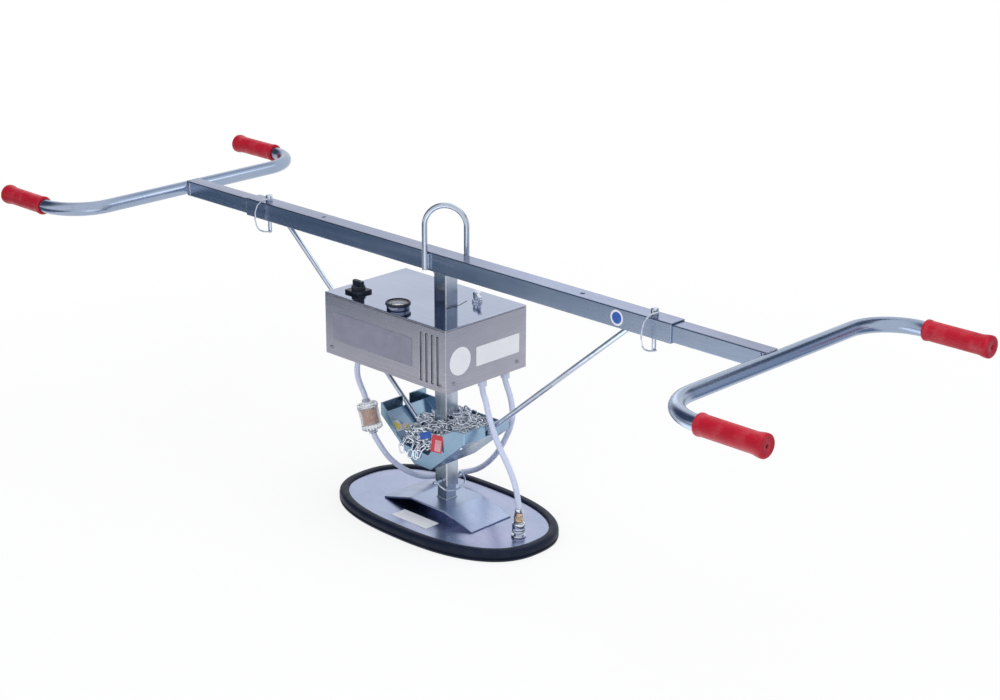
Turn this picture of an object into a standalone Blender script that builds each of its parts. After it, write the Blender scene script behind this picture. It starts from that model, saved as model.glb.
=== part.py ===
# Vacuum slab lifter: a telescopic two-man crossbar on a column, with a boxed vacuum unit,
# a tray for the safety chain and an oval suction plate. Metres, Z up, the plate rests on Z = 0.
# X runs along the crossbar and Y along the handles. The column stands on X = Y = 0.
import math

import bmesh
import bpy
from mathutils import Matrix, Vector

for old in list(bpy.data.objects):
    bpy.data.objects.remove(old, do_unlink=True)

# Driving dimensions, in metres.
gap = 0.0003                # between pieces that touch
bar_width = 0.035           # square outer tube of the crossbar
bar_wall = 0.0022
bar_half_length = 0.547
bar_top = 0.522
inner_wall = 0.0025         # square tubes that slide in the crossbar
inner_overlap = 0.045       # what stays inboard of the pin when a handle is fully out
slide_travel = 0.150
pin_x = 0.497               # lock pins of the handles
spare_hole_x = 0.335
pin_diameter = 0.008
pin_play = 0.0005           # round the pin, in every hole
pin_tail = 0.030            # of the crossbar pins, below the bar
foot_tail = 0.020
head_diameter = 0.014
head_height = 0.012
foot_head_height = 0.022
wire_diameter = 0.0032      # bail on each pin
bail_reach = 0.031
left_bail_turn = -27.0      # degrees from straight ahead
right_bail_turn = -16.0
foot_bail_droop = 38.0
handle_x = 0.744            # cross tube of each handle
handle_half_span = 0.298
bend_radius = 0.090
tube_diameter = 0.0269
tube_wall = 0.0024
grip_end_x = 0.960
grip_wall = 0.0036
grip_end_wall = 0.0045
eye_diameter = 0.0105       # lifting eye
eye_half_x = 0.031
eye_top = 0.617
column_width = 0.030
column_wall = 0.0025
column_foot = 0.066
foot_pin_height = 0.077
strut_diameter = 0.010
strut_top_x = 0.443
strut_slope = 0.85
tray_sheet = 0.002
tray_half_floor = 0.0215    # flat strip along the middle of the hopper
tray_half_width = 0.109
tray_front = -0.064
tray_back = 0.053
tray_rim = 0.218
tray_back_rim = 0.205
tray_lip = 0.026            # of the front wall over the floor strip
tray_notch = 0.018          # in each side's rim, where the strut passes
chain_level = 0.203         # top of the heap
box_left = -0.217
box_right = 0.105
box_half_depth = 0.104
box_bottom = 0.302
box_top = 0.4225
hood_sheet = 0.0015
base_sheet = 0.003
slot_width = 0.006
hose_diameter = 0.011
plate_half_length = 0.243   # over the rubber seal
plate_half_width = 0.141
plate_power = 2.44          # of the oval outline
seal_height = 0.022
seal_band = 0.018           # width of the seal beyond the plate's edge
seal_ledge = 0.009          # of the seal under the plate
plate_sheet = 0.005
plate_top = 0.018
saddle_half_length = 0.118
saddle_half_flat = 0.046
saddle_half_width = 0.052
saddle_sheet = 0.004
saddle_top = 0.040
spigot_wall = 0.0025
spigot_top = 0.125
coupling_x = 0.188
sleeve_travel = 0.004

# Sizes that follow from them.
bar_bottom = bar_top - bar_width
bar_axis = bar_top - bar_width / 2
bar_bore = bar_width - 2 * bar_wall
inner_width = bar_bore - 2 * gap
pin_radius = pin_diameter / 2
pin_bore = pin_radius + pin_play
wire_radius = wire_diameter / 2
tube_radius = tube_diameter / 2
eye_half_y = bar_width / 2 + gap + eye_diameter / 2
strut_radius = strut_diameter / 2
strut_angle = math.atan(strut_slope)
strut_drop = (strut_radius + gap) / math.cos(strut_angle)
hose_radius = hose_diameter / 2
plate_bottom = plate_top - plate_sheet
spigot_width = column_width - 2 * column_wall - 2 * gap

MATERIALS = {}


def material(name, colour, roughness, metallic):
    mat = bpy.data.materials.new(name)
    mat.use_nodes = True
    shader = mat.node_tree.nodes["Principled BSDF"]
    shader.inputs["Base Color"].default_value = (*colour, 1.0)
    shader.inputs["Roughness"].default_value = roughness
    shader.inputs["Metallic"].default_value = metallic
    MATERIALS[name] = mat
    return mat


FINISH = {
    "zinc": ((0.50, 0.55, 0.62), 0.32, 1.0),
    "stainless": ((0.60, 0.60, 0.64), 0.28, 1.0),
    "steel": ((0.55, 0.57, 0.60), 0.30, 1.0),
    "chrome": ((0.75, 0.77, 0.80), 0.10, 1.0),
    "brass": ((0.70, 0.52, 0.25), 0.28, 1.0),
    "red": ((0.60, 0.02, 0.03), 0.45, 0.0),
    "black": ((0.02, 0.02, 0.02), 0.45, 0.0),
    "rubber": ((0.03, 0.03, 0.035), 0.80, 0.0),
    "white": ((0.85, 0.85, 0.84), 0.50, 0.0),
    "clear": ((0.80, 0.83, 0.88), 0.15, 0.0),
    "milky": ((0.66, 0.70, 0.82), 0.35, 0.0),
    "mesh": ((0.55, 0.33, 0.20), 0.60, 0.0),
    "grey": ((0.30, 0.31, 0.33), 0.55, 0.0),
}


def finish(obj, kind, smooth=None):
    obj.data.materials.clear()
    obj.data.materials.append(material(obj.name, *FINISH[kind]))
    if smooth is not None:
        limit = math.radians(smooth)
        mesh = obj.data
        for face in mesh.polygons:
            face.use_smooth = True
        bm = bmesh.new()
        bm.from_mesh(mesh)
        for edge in bm.edges:
            if len(edge.link_faces) == 2:
                edge.smooth = edge.calc_face_angle(0.0) < limit
        bm.to_mesh(mesh)
        bm.free()
    return obj


def from_mesh(name, verts, faces, place=(0, 0, 0)):
    mesh = bpy.data.meshes.new(name)
    mesh.from_pydata([tuple(v) for v in verts], [], faces)
    bm = bmesh.new()
    bm.from_mesh(mesh)
    bmesh.ops.recalc_face_normals(bm, faces=bm.faces)
    bm.to_mesh(mesh)
    bm.free()
    obj = bpy.data.objects.new(name, mesh)
    bpy.context.scene.collection.objects.link(obj)
    obj.location = place
    return obj


def block(name, low, high, place=(0, 0, 0)):
    x0, y0, z0 = low
    x1, y1, z1 = high
    verts = [(x, y, z) for z in (z0, z1) for y in (y0, y1) for x in (x0, x1)]
    faces = [(0, 2, 3, 1), (4, 5, 7, 6), (0, 1, 5, 4), (2, 6, 7, 3), (0, 4, 6, 2), (1, 3, 7, 5)]
    return from_mesh(name, verts, faces, place)


def prism(name, outline, axis, start, end, place=(0, 0, 0)):
    """Extrudes a 2-D outline along an axis; it is (x, z) for Y, (y, z) for X and (x, y) for Z."""
    count = len(outline)
    verts = []
    for level in (start, end):
        for a, b in outline:
            verts.append({"x": (level, a, b), "y": (a, level, b), "z": (a, b, level)}[axis])
    faces = [tuple(range(count)), tuple(range(count, 2 * count))]
    for i in range(count):
        j = (i + 1) % count
        faces.append((i, j, count + j, count + i))
    return from_mesh(name, verts, faces, place)


def lathe(name, profile, steps, place=(0, 0, 0), turn=None):
    """Turns a profile of (radius, z) points round Z. It is closed, or starts and ends on the axis."""
    verts = []
    rings = []
    for radius, z in profile:
        if radius < 1e-9:
            verts.append((0.0, 0.0, z))
            rings.append([len(verts) - 1])
            continue
        first = len(verts)
        for k in range(steps):
            angle = 2 * math.pi * k / steps
            verts.append((radius * math.cos(angle), radius * math.sin(angle), z))
        rings.append(list(range(first, first + steps)))
    faces = []
    last = len(rings) if len(rings[0]) > 1 and len(rings[-1]) > 1 else len(rings) - 1
    for i in range(last):
        a = rings[i]
        b = rings[(i + 1) % len(rings)]
        for k in range(steps):
            m = (k + 1) % steps
            if len(a) == 1:
                faces.append((a[0], b[k], b[m]))
            elif len(b) == 1:
                faces.append((a[k], b[0], a[m]))
            else:
                faces.append((a[k], b[k], b[m], a[m]))
    obj = from_mesh(name, verts, faces, place)
    if turn is not None:
        obj.rotation_euler = turn
    return obj


def frames(points):
    """A frame at each point of a path that turns no more than the path does."""
    pts = [Vector(p) for p in points]
    tangents = []
    for i in range(len(pts)):
        ahead = (pts[min(i + 1, len(pts) - 1)] - pts[i])
        behind = (pts[i] - pts[max(i - 1, 0)])
        step = Vector((0, 0, 0))
        for part in (ahead, behind):
            if part.length > 1e-12:
                step += part.normalized()
        tangents.append(step.normalized())
    side = Vector((0, 0, 1)) if abs(tangents[0].z) < 0.9 else Vector((1, 0, 0))
    side = (side - tangents[0] * side.dot(tangents[0])).normalized()
    out = []
    for i, point in enumerate(pts):
        if i:
            side = tangents[i - 1].rotation_difference(tangents[i]) @ side
            side = (side - tangents[i] * side.dot(tangents[i])).normalized()
        out.append((point, side, tangents[i].cross(side)))
    return out


def sweep(name, points, radius, sides, bore=None, place=(0, 0, 0)):
    """A round bar along a path, or a tube with open ends where it has a bore."""
    rows = []
    verts = []
    faces = []
    path = frames(points)
    for size in ([radius] if bore is None else [radius, bore]):
        row = []
        for point, side, up in path:
            row.append(len(verts))
            for k in range(sides):
                angle = 2 * math.pi * k / sides
                verts.append(point + side * (size * math.cos(angle)) + up * (size * math.sin(angle)))
        rows.append(row)
        for i in range(len(row) - 1):
            for k in range(sides):
                m = (k + 1) % sides
                faces.append((row[i] + k, row[i] + m, row[i + 1] + m, row[i + 1] + k))
    for end in (0, -1):
        outer = rows[0][end]
        if bore is None:
            faces.append(tuple(outer + k for k in range(sides)))
            continue
        inner = rows[1][end]
        for k in range(sides):
            m = (k + 1) % sides
            faces.append((outer + k, outer + m, inner + m, inner + k))
    return from_mesh(name, verts, faces, place)


def arc(centre, start, end, radius, steps):
    """Points of an arc in a level plane, from one angle to another in degrees."""
    out = []
    for k in range(steps + 1):
        angle = math.radians(start + (end - start) * k / steps)
        out.append((centre[0] + radius * math.cos(angle), centre[1] + radius * math.sin(angle)))
    return out


def combine(obj, tool, how):
    """Cuts, joins or intersects with a tool body, then drops the tool."""
    mod = obj.modifiers.new("combine", "BOOLEAN")
    mod.operation = how
    mod.solver = "EXACT"
    mod.object = tool
    bpy.context.view_layer.update()
    graph = bpy.context.evaluated_depsgraph_get()
    mesh = bpy.data.meshes.new_from_object(obj.evaluated_get(graph))
    obj.modifiers.clear()
    obj.data = mesh
    bpy.data.objects.remove(tool, do_unlink=True)
    return obj


def cut(obj, tool):
    return combine(obj, tool, "DIFFERENCE")


def join(obj, tool):
    return combine(obj, tool, "UNION")


def square_tube(name, half_x, width, wall, axis_z):
    outer = width / 2
    inner = outer - wall
    tube = prism(name, [(-outer, -outer), (outer, -outer), (outer, outer), (-outer, outer)],
                 "x", -half_x, half_x, (0, 0, axis_z))
    bore = prism("bore", [(-inner, -inner), (inner, -inner), (inner, inner), (-inner, inner)],
                 "x", -half_x - 0.01, half_x + 0.01, (0, 0, axis_z))
    return cut(tube, bore)


def drill(obj, radius, centre, axis, length, steps=12):
    tool = lathe("drill", [(0, -length / 2), (radius, -length / 2), (radius, length / 2), (0, length / 2)],
                 steps, centre)
    tool.rotation_euler = {"x": (0, math.pi / 2, 0), "y": (math.pi / 2, 0, 0), "z": (0, 0, 0)}[axis]
    return cut(obj, tool)


# Crossbar, and the handles that slide in its ends.
crossbar = square_tube("crossbar", bar_half_length, bar_width, bar_wall, bar_axis)
for hole_x in (-pin_x, -spare_hole_x, spare_hole_x, pin_x):
    drill(crossbar, pin_bore, (hole_x, 0, bar_axis), "z", 2 * bar_width)
finish(crossbar, "zinc")

for side, label in ((-1, "left"), (1, "right")):
    inner_start = pin_x - slide_travel - inner_overlap
    inner_end = handle_x - tube_radius * 0.3
    half = inner_width / 2
    bore_half = half - inner_wall
    tube = block(f"inner_tube_{label}", (inner_start, -half, -half), (inner_end, half, half))
    cut(tube, block("bore", (inner_start - 0.01, -bore_half, -bore_half),
                    (inner_end + 0.01, bore_half, bore_half)))
    slot = block("slot", (pin_x - slide_travel, -pin_bore, -inner_width), (pin_x, pin_bore, inner_width))
    cut(tube, slot)
    for end_x in (pin_x - slide_travel, pin_x):
        drill(tube, pin_bore, (end_x, 0, 0), "z", 2 * inner_width)
    drill(tube, tube_radius + gap, (handle_x, 0, 0), "y", 2 * inner_width, 24)
    tube.data.transform(Matrix.Diagonal((side, 1, 1, 1)))
    if side < 0:
        tube.data.flip_normals()
    tube.location = (0, 0, bar_axis)
    finish(tube, "zinc")

    stop_x = grip_end_x - grip_end_wall - gap
    centre_x = handle_x + bend_radius
    centre_y = handle_half_span - bend_radius
    path = [(stop_x, -handle_half_span)]
    path += arc((centre_x, -centre_y), 270, 180, bend_radius, 7)
    path += arc((centre_x, centre_y), 180, 90, bend_radius, 7)
    path += [(stop_x, handle_half_span)]
    handle = sweep(f"handlebar_{label}", [(side * x, y, 0) for x, y in path], tube_radius, 16,
                   tube_radius - tube_wall, (0, 0, bar_axis))
    finish(handle, "zinc", 40)

    grip_length = grip_end_x - centre_x
    bore = tube_radius + gap
    body = bore + grip_wall
    profile = [
        (bore, 0), (body + 0.0006, 0), (body + 0.0012, 0.004), (body, 0.007),
        (body, grip_length - 0.020), (body + 0.0022, grip_length - 0.012),
        (body + 0.0022, grip_length - 0.002), (body + 0.0006, grip_length),
        (0.004, grip_length), (0.004, grip_length - grip_end_wall), (bore, grip_length - grip_end_wall),
    ]
    for front, word in ((-1, "front"), (1, "rear")):
        grip = lathe(f"grip_{label}_{word}", profile, 20,
                     (side * centre_x, front * handle_half_span, bar_axis), (0, side * math.pi / 2, 0))
        finish(grip, "red", 35)


# Lock pins with their wire bails.
def lock_pin(label, origin, turn, through, tail, height, hand):
    """A headed pin whose origin is the bail's pivot, with the bail on a cross hole in the head."""
    above = wire_radius + 0.0044
    below = height - above
    length = below + gap + through + tail
    pin = lathe(f"lock_pin_{label}", [
        (0, -length), (pin_radius - 0.0012, -length), (pin_radius, -length + 0.002),
        (pin_radius, -below), (head_diameter / 2, -below), (head_diameter / 2, above - 0.0015),
        (head_diameter / 2 - 0.0015, above), (0, above),
    ], 14)
    drill(pin, wire_radius + gap, (0, 0, 0), "x", 2 * head_diameter, 10)
    finish(pin, "steel", 35)
    beside = head_diameter / 2 + 2 * gap + wire_radius
    close = pin_radius + 2 * gap + wire_radius
    shape = [
        (0.0, -0.004, 0.0), (0.1, -0.55, -0.002), (0.2, -0.86, -0.011), (0.35, -1.0, -0.024),
    ]
    reach = bail_reach
    span = length - 0.0035
    points = [(beside - 0.0018, 0.0, 0.0), (-beside + 0.0012, 0.0, 0.0), (-beside - 0.0002, -0.0016, 0.0)]
    points.append((-beside, -0.006, 0.0))
    for share, out, down in shape[1:]:
        points.append((-beside, out * reach, down))
    for share, out in ((0.62, -1.0), (0.80, -0.92), (0.92, -0.74), (0.98, -0.46), (1.0, -0.15)):
        x = -beside + (beside - close) * share
        points.append((x, out * reach, -span * share))
    points.append((-close, 0.001, -span))
    points = [(-hand * x, y, z) for x, y, z in points]
    bail = sweep(f"pin_bail_{label}", points, wire_radius, 8)
    finish(bail, "steel", 60)
    for obj in (pin, bail):
        obj.matrix_world = Matrix.Translation(origin) @ turn
    return pin, bail


pivot_rise = gap + head_height - (wire_radius + 0.0044)
for side, label, bail_turn in ((-1, "left", left_bail_turn), (1, "right", right_bail_turn)):
    lock_pin(label, (side * pin_x, 0, bar_top + pivot_rise), Matrix.Rotation(math.radians(bail_turn), 4, "Z"),
             bar_width, pin_tail, head_height, 1)
foot_rise = gap + foot_head_height - (wire_radius + 0.0044)
droop = math.radians(foot_bail_droop)
foot_x = Vector((-math.sin(droop), 0, -math.cos(droop)))
foot_z = Vector((0, 1, 0))
foot_y = foot_z.cross(foot_x)
foot_turn = Matrix((foot_x, foot_y, foot_z)).transposed().to_4x4()
lock_pin("foot", (0, column_width / 2 + foot_rise, foot_pin_height), foot_turn,
         column_width, foot_tail, foot_head_height, -1)

# Lifting eye.
eye_span = math.hypot(eye_half_x, eye_half_y)
eye_turn = math.atan2(eye_half_y, eye_half_x)
eye_axis_top = eye_top - eye_diameter / 2
path = [(-eye_span, bar_bottom + 0.002)]
path += [(x, z) for x, z in arc((0, eye_axis_top - eye_span), 180, 0, eye_span, 12)]
path += [(eye_span, bar_bottom + 0.002)]
eye = sweep("lifting_eye", [(x * math.cos(eye_turn), x * math.sin(eye_turn), z) for x, z in path],
            eye_diameter / 2, 12)
finish(eye, "zinc", 40)

# Column and struts.
column_top = bar_bottom - gap
half = column_width / 2
column = block("column", (-half, -half, column_foot), (half, half, column_top))
bore_half = half - column_wall
cut(column, block("bore", (-bore_half, -bore_half, column_foot - 0.01),
                  (bore_half, bore_half, column_top + 0.01)))
drill(column, pin_bore, (0, 0, foot_pin_height), "y", 2 * column_width)
finish(column, "zinc")


def strut_axis(x):
    return bar_bottom - (strut_top_x - abs(x)) * strut_slope


for side, label in ((-1, "left"), (1, "right")):
    count = 12
    across = Vector((0, 1, 0))
    along = Vector((side * math.cos(strut_angle), 0, math.sin(strut_angle)))
    upward = along.cross(across)
    verts = []
    for end in ("top", "foot"):
        for k in range(count):
            angle = 2 * math.pi * k / count
            offset = across * (strut_radius * math.cos(angle)) + upward * (strut_radius * math.sin(angle))
            point = Vector((side * strut_top_x, 0, bar_bottom)) + offset
            if end == "top":
                point += along * ((bar_bottom - gap - point.z) / along.z)
            else:
                point += along * ((side * (column_width / 2 + gap) - point.x) / along.x)
            verts.append(point)
    faces = [tuple(range(count)), tuple(range(count, 2 * count))]
    for k in range(count):
        m = (k + 1) % count
        faces.append((k, m, count + m, count + k))
    finish(from_mesh(f"strut_{label}", verts, faces), "zinc", 40)

# Chain tray.
wing_x = tray_half_width
wing_z = strut_axis(wing_x) - strut_drop
floor_x = tray_half_floor
slope_sheet = tray_sheet / math.cos(strut_angle)
floor_z = strut_axis(floor_x) - strut_drop
inside = [(wing_x, tray_rim), (wing_x, wing_z), (floor_x, floor_z)]
outside = [
    (wing_x + tray_sheet, tray_rim), (wing_x + tray_sheet, wing_z + 0.5 * tray_sheet - slope_sheet),
    (floor_x + 0.4 * tray_sheet, floor_z - tray_sheet),
]
outline = inside + [(-x, z) for x, z in reversed(inside)]
outline += [(-x, z) for x, z in outside] + list(reversed(outside))
tray = prism("chain_tray", outline, "y", tray_front, tray_back)
back = [(x, z) for x, z in outside]
back[0] = (wing_x + tray_sheet, tray_back_rim)
back_outline = back + [(-x, z) for x, z in reversed(back)]
join(tray, prism("back", back_outline, "y", tray_back - tray_sheet, tray_back + 0.0001))
front = [
    (wing_x + tray_sheet, tray_rim), (0.78 * wing_x, tray_rim - 0.10 * tray_lip),
    (0.54 * wing_x, tray_rim - 0.60 * tray_lip), (0.26 * wing_x, floor_z + 1.55 * tray_lip),
    (0.15 * wing_x, floor_z + tray_lip), (-0.45 * wing_x, floor_z + 1.15 * tray_lip),
    (-0.62 * wing_x, strut_axis(0.62 * wing_x) - strut_drop + 2 * tray_sheet),
    (-0.75 * wing_x, tray_rim - tray_lip), (-0.97 * wing_x, tray_rim - 0.10 * tray_lip),
    (-wing_x, tray_rim), (-wing_x - tray_sheet, tray_rim),
]
front += [(-x, z) for x, z in outside[1:]] + list(reversed(outside[1:]))
join(tray, prism("front", front, "y", tray_front - 0.0001, tray_front + tray_sheet))
hole = column_width / 2 + gap
cut(tray, block("hole", (-hole, -hole, floor_z - 0.01), (hole, hole, floor_z + 0.01)))
notch = strut_radius + 2 * gap
cut(tray, block("hole", (-floor_x - 0.001, -notch, floor_z - 0.01), (floor_x + 0.001, notch, floor_z + 0.01)))
for side in (-1, 1):
    low = strut_axis(wing_x) - strut_drop + 0.0005
    cut(tray, block("notch", (side * wing_x - 0.008, -tray_notch / 2, low),
                    (side * wing_x + 0.008, tray_notch / 2, tray_rim + 0.01)))
finish(tray, "zinc")

# Safety chain, as one heap.
cells_x = 14
cells_y = 8
margin = 0.0006
heap_left = -0.070
heap_right = 0.094
heap_front = tray_front + tray_sheet + margin
heap_back = tray_back - tray_sheet - margin


def tray_surface(x):
    if abs(x) < floor_x:
        return floor_z
    return strut_axis(x) - strut_drop


def heap_height(x, y):
    crest = chain_level + 0.005 * math.sin(31.0 * x + 1.0) + 0.004 * math.sin(57.0 * y + 40.0 * x)
    crest -= 0.9 * max(0.0, -x - 0.040)
    crest -= 0.75 * max(0.0, -y - 0.025) * min(1.0, max(0.0, (0.075 - x) / 0.040))
    return crest + 0.002 * math.sin(190.0 * x) * math.cos(170.0 * y)


def heap_grid(level):
    rows = []
    for j in range(cells_y + 1):
        y = heap_front + (heap_back - heap_front) * j / cells_y
        row = []
        for i in range(cells_x + 1):
            x = heap_left + (heap_right - heap_left) * i / cells_x
            base = tray_surface(x) + margin
            if level:
                edge = min(j, cells_y - j, i, cells_x - i) / 1.5
                rise = heap_height(x, y) - base
                z = base + max(0.004, rise * min(1.0, 0.85 + 0.15 * edge))
            else:
                z = base
            row.append((x, y, z))
        rows.append(row)
    return rows


verts = []
for level in (0, 1):
    for row in heap_grid(level):
        verts.extend(row)
wide = cells_x + 1
deep = cells_y + 1
layer = wide * deep
faces = []
for j in range(cells_y):
    for i in range(cells_x):
        a = j * wide + i
        faces.append((a, a + wide, a + wide + 1, a + 1))
        faces.append((layer + a, layer + a + 1, layer + a + wide + 1, layer + a + wide))
rim = list(range(wide))
rim += [j * wide + cells_x for j in range(1, deep)]
rim += [(deep - 1) * wide + i for i in range(cells_x - 1, -1, -1)]
rim += [j * wide for j in range(deep - 2, 0, -1)]
for k, a in enumerate(rim):
    b = rim[(k + 1) % len(rim)]
    faces.append((a, b, layer + b, layer + a))
chain = from_mesh("safety_chain", verts, faces)
clear = column_width / 2 + margin
cut(chain, block("clear", (-clear, -clear, 0.09), (clear, clear, 0.3)))
rod = strut_radius + margin
for side in (-1, 1):
    ends = [(side * x, 0, strut_axis(x)) for x in (0.005, 0.150)]
    cut(chain, sweep("rod", ends, rod, 10))
finish(chain, "steel", 80)

# Vacuum unit: base plate, hood and what they hold.
hole = column_width / 2 + gap
base = block("unit_base", (box_left + hood_sheet + gap, -box_half_depth + hood_sheet + gap, box_bottom),
             (box_right - hood_sheet - gap, box_half_depth - hood_sheet - gap, box_bottom + base_sheet))
cut(base, block("hole", (-hole, -hole, box_bottom - 0.01), (hole, hole, box_bottom + 0.01)))
port_places = {"plate": (0.092, 0.002), "filter_out": (0.092, 0.062), "filter_in": (-0.176, -0.060)}
port_stem = 0.005
for place in port_places.values():
    drill(base, port_stem + gap, (*place, box_bottom), "z", 0.03)
finish(base, "stainless")

switch_place = (box_left + 0.047, 0.042 - box_half_depth)
gauge_place = (-0.047, 0.028 - box_half_depth)
valve_place = (0.026, box_half_depth - 0.049)
switch_stem = 0.011
gauge_stem = 0.007
valve_stem = 0.006
hood = block("hood", (box_left, -box_half_depth, box_bottom), (box_right, box_half_depth, box_top))
cut(hood, block("inside", (box_left + hood_sheet, -box_half_depth + hood_sheet, box_bottom - 0.01),
                (box_right - hood_sheet, box_half_depth - hood_sheet, box_top - hood_sheet)))
cut(hood, block("hole", (-hole, -hole, box_top - 0.01), (hole, hole, box_top + 0.01)))
for place, stem in ((switch_place, switch_stem), (gauge_place, gauge_stem), (valve_place, valve_stem)):
    drill(hood, stem + gap, (*place, box_top), "z", 0.02, 16)
for k in range(4):
    slot_x = 0.041 + 0.0143 * k
    cut(hood, block("slot", (slot_x - slot_width / 2, -box_half_depth - 0.01, box_bottom + 0.012),
                    (slot_x + slot_width / 2, -box_half_depth + 0.01, box_top - 0.016)))
finish(hood, "stainless")

battery_floor = box_bottom + base_sheet + gap
battery = block("battery", (box_left + 0.020, 0.000, battery_floor),
                (box_left + 0.110, 0.085, battery_floor + 0.095))
finish(battery, "black")
pump = block("pump_head", (-0.080, -0.080, battery_floor), (-0.030, -0.036, battery_floor + 0.062))
finish(pump, "grey")
motor = lathe("pump_motor", [
    (0, 0), (0.014, 0), (0.019, 0.003), (0.019, 0.060), (0.012, 0.064), (0, 0.064),
], 18, (-0.080 - gap, -0.058, battery_floor + 0.0195), (0, -math.pi / 2, 0))
finish(motor, "steel", 35)
manifold_floor = box_bottom + 0.012 + gap
manifold = block("manifold", (0.070, -0.012, manifold_floor), (0.101, 0.076, manifold_floor + 0.020))
finish(manifold, "grey")

hose_bore = hose_radius + gap
for label, place in port_places.items():
    port = lathe(f"port_{label}", [
        (0, 0.012), (port_stem, 0.012), (port_stem, -gap), (0.0085, -gap), (0.0085, -0.014),
        (hose_bore, -0.014), (hose_bore, -0.005), (0, -0.005),
    ], 14, (*place, box_bottom))
    finish(port, "chrome", 35)

# Rotary switch, vacuum gauge and valve on the hood.
seat = box_top + gap
switch = block("switch_base", (-0.018, -0.018, 0), (0.018, 0.018, 0.005), (*switch_place, seat))
join(switch, lathe("barrel", [(0, -0.026), (switch_stem, -0.026), (switch_stem, 0.002), (0, 0.002)], 16,
                   (*switch_place, seat)))
finish(switch, "black")
knob = lathe("switch_knob", [(0, 0), (0.0135, 0), (0.0135, 0.004), (0.012, 0.006), (0, 0.006)], 18,
             (*switch_place, seat + 0.005 + gap))
join(knob, block("bar", (-0.0125, -0.0035, 0.001), (0.0125, 0.0035, 0.017),
                 (*switch_place, seat + 0.005 + gap)))
finish(knob, "black", 35)

dial_radius = 0.0195
case = lathe("gauge_case", [
    (0, -0.022), (gauge_stem, -0.022), (gauge_stem, 0), (0.0225, 0), (0.0235, 0.002), (0.0235, 0.0115),
    (0.0225, 0.013), (dial_radius, 0.013), (dial_radius, 0.002), (0, 0.002),
], 28, (*gauge_place, seat))
finish(case, "black", 35)
disc = dial_radius - gap
dial = lathe("gauge_dial", [(0, 0), (disc, 0), (disc, 0.001), (0, 0.001)], 28,
             (*gauge_place, seat + 0.002 + gap))
finish(dial, "white", 35)
needle_level = seat + 0.003 + 2 * gap
needle = lathe("gauge_needle", [(0, 0), (0.0022, 0), (0.0022, 0.0022), (0, 0.0022)], 12,
               (*gauge_place, needle_level))
tip = [
    (-0.0012, 0.0), (-0.0010, -0.006), (0.0010, -0.006), (0.0012, 0.0), (0.0003, 0.0155), (-0.0003, 0.0155),
]
pointer = prism("pointer", tip, "z", 0.0008, 0.0015, (*gauge_place, needle_level))
pointer.rotation_euler = (0, 0, math.radians(135))
join(needle, pointer)
finish(needle, "black")
lens = lathe("gauge_lens", [(0, 0), (disc, 0), (disc, 0.0015), (0, 0.002)], 28,
             (*gauge_place, seat + 0.0095))
finish(lens, "clear", 35)

valve = lathe("valve_body", [
    (0, -0.020), (valve_stem, -0.020), (valve_stem, 0), (0.010, 0), (0.010, 0.005), (0.0075, 0.006),
    (0.0075, 0.012), (0, 0.012),
], 16, (*valve_place, seat))
finish(valve, "chrome", 35)
lever_level = seat + 0.012 + gap
lever = lathe("valve_lever", [(0, 0), (0.008, 0), (0.008, 0.005), (0.006, 0.007), (0, 0.007)], 16,
              (*valve_place, lever_level))
handle_bar = block("bar", (0.0, -0.0035, 0.001), (0.030, 0.0035, 0.0045), (*valve_place, lever_level))
handle_bar.rotation_euler = (0, 0, math.radians(-35))
join(lever, handle_bar)
finish(lever, "chrome", 35)


# Suction plate, seal, saddle and spigot.
def oval(inset, count=44):
    """The plate's oval outline, moved inwards by inset along its normals."""
    out = []
    for k in range(count):
        angle = 2 * math.pi * (k + 0.5) / count
        c = math.cos(angle)
        s = math.sin(angle)
        x = plate_half_length * math.copysign(abs(c) ** (2 / plate_power), c)
        y = plate_half_width * math.copysign(abs(s) ** (2 / plate_power), s)
        nx = math.copysign(abs(x / plate_half_length) ** (plate_power - 1), x) / plate_half_length
        ny = math.copysign(abs(y / plate_half_width) ** (plate_power - 1), y) / plate_half_width
        size = math.hypot(nx, ny)
        out.append((x - inset * nx / size, y - inset * ny / size))
    return out


plate = prism("suction_plate", oval(seal_band + gap), "z", plate_bottom, plate_top)
drill(plate, 0.004, (coupling_x, 0, plate_top), "z", 0.04)
finish(plate, "zinc")

section = [
    (0.0, 0.003), (0.002, 0.0), (seal_band + seal_ledge - 0.002, 0.0), (seal_band + seal_ledge, 0.003),
    (seal_band + seal_ledge, plate_bottom - gap), (seal_band, plate_bottom - gap),
    (seal_band, seal_height - 0.002), (seal_band - 0.003, seal_height), (0.004, seal_height),
    (0.0, seal_height - 0.004),
]
rings = [[(x, y, z) for x, y in oval(inset)] for inset, z in section]
verts = [point for ring in rings for point in ring]
count = len(rings[0])
faces = []
for i in range(len(rings)):
    j = (i + 1) % len(rings)
    for k in range(count):
        m = (k + 1) % count
        faces.append((i * count + k, i * count + m, j * count + m, j * count + k))
finish(from_mesh("seal_ring", verts, faces), "rubber", 40)

low = plate_top + gap
rise = (saddle_top - saddle_sheet - low) / (saddle_half_length - 0.010 - saddle_half_flat)
under = saddle_sheet * math.sqrt(1 + rise * rise)
upper = [(saddle_half_length, low + 0.0022), (saddle_half_flat, saddle_top)]
lower = [
    (saddle_half_length, low), (saddle_half_length - 0.006, low),
    (saddle_half_flat - 0.001, saddle_top - saddle_sheet),
]
outline = upper + [(-x, z) for x, z in reversed(upper)] + [(-x, z) for x, z in lower] + list(reversed(lower))
saddle = prism("saddle_bracket", outline, "y", -saddle_half_width, saddle_half_width)
finish(saddle, "zinc")

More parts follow.
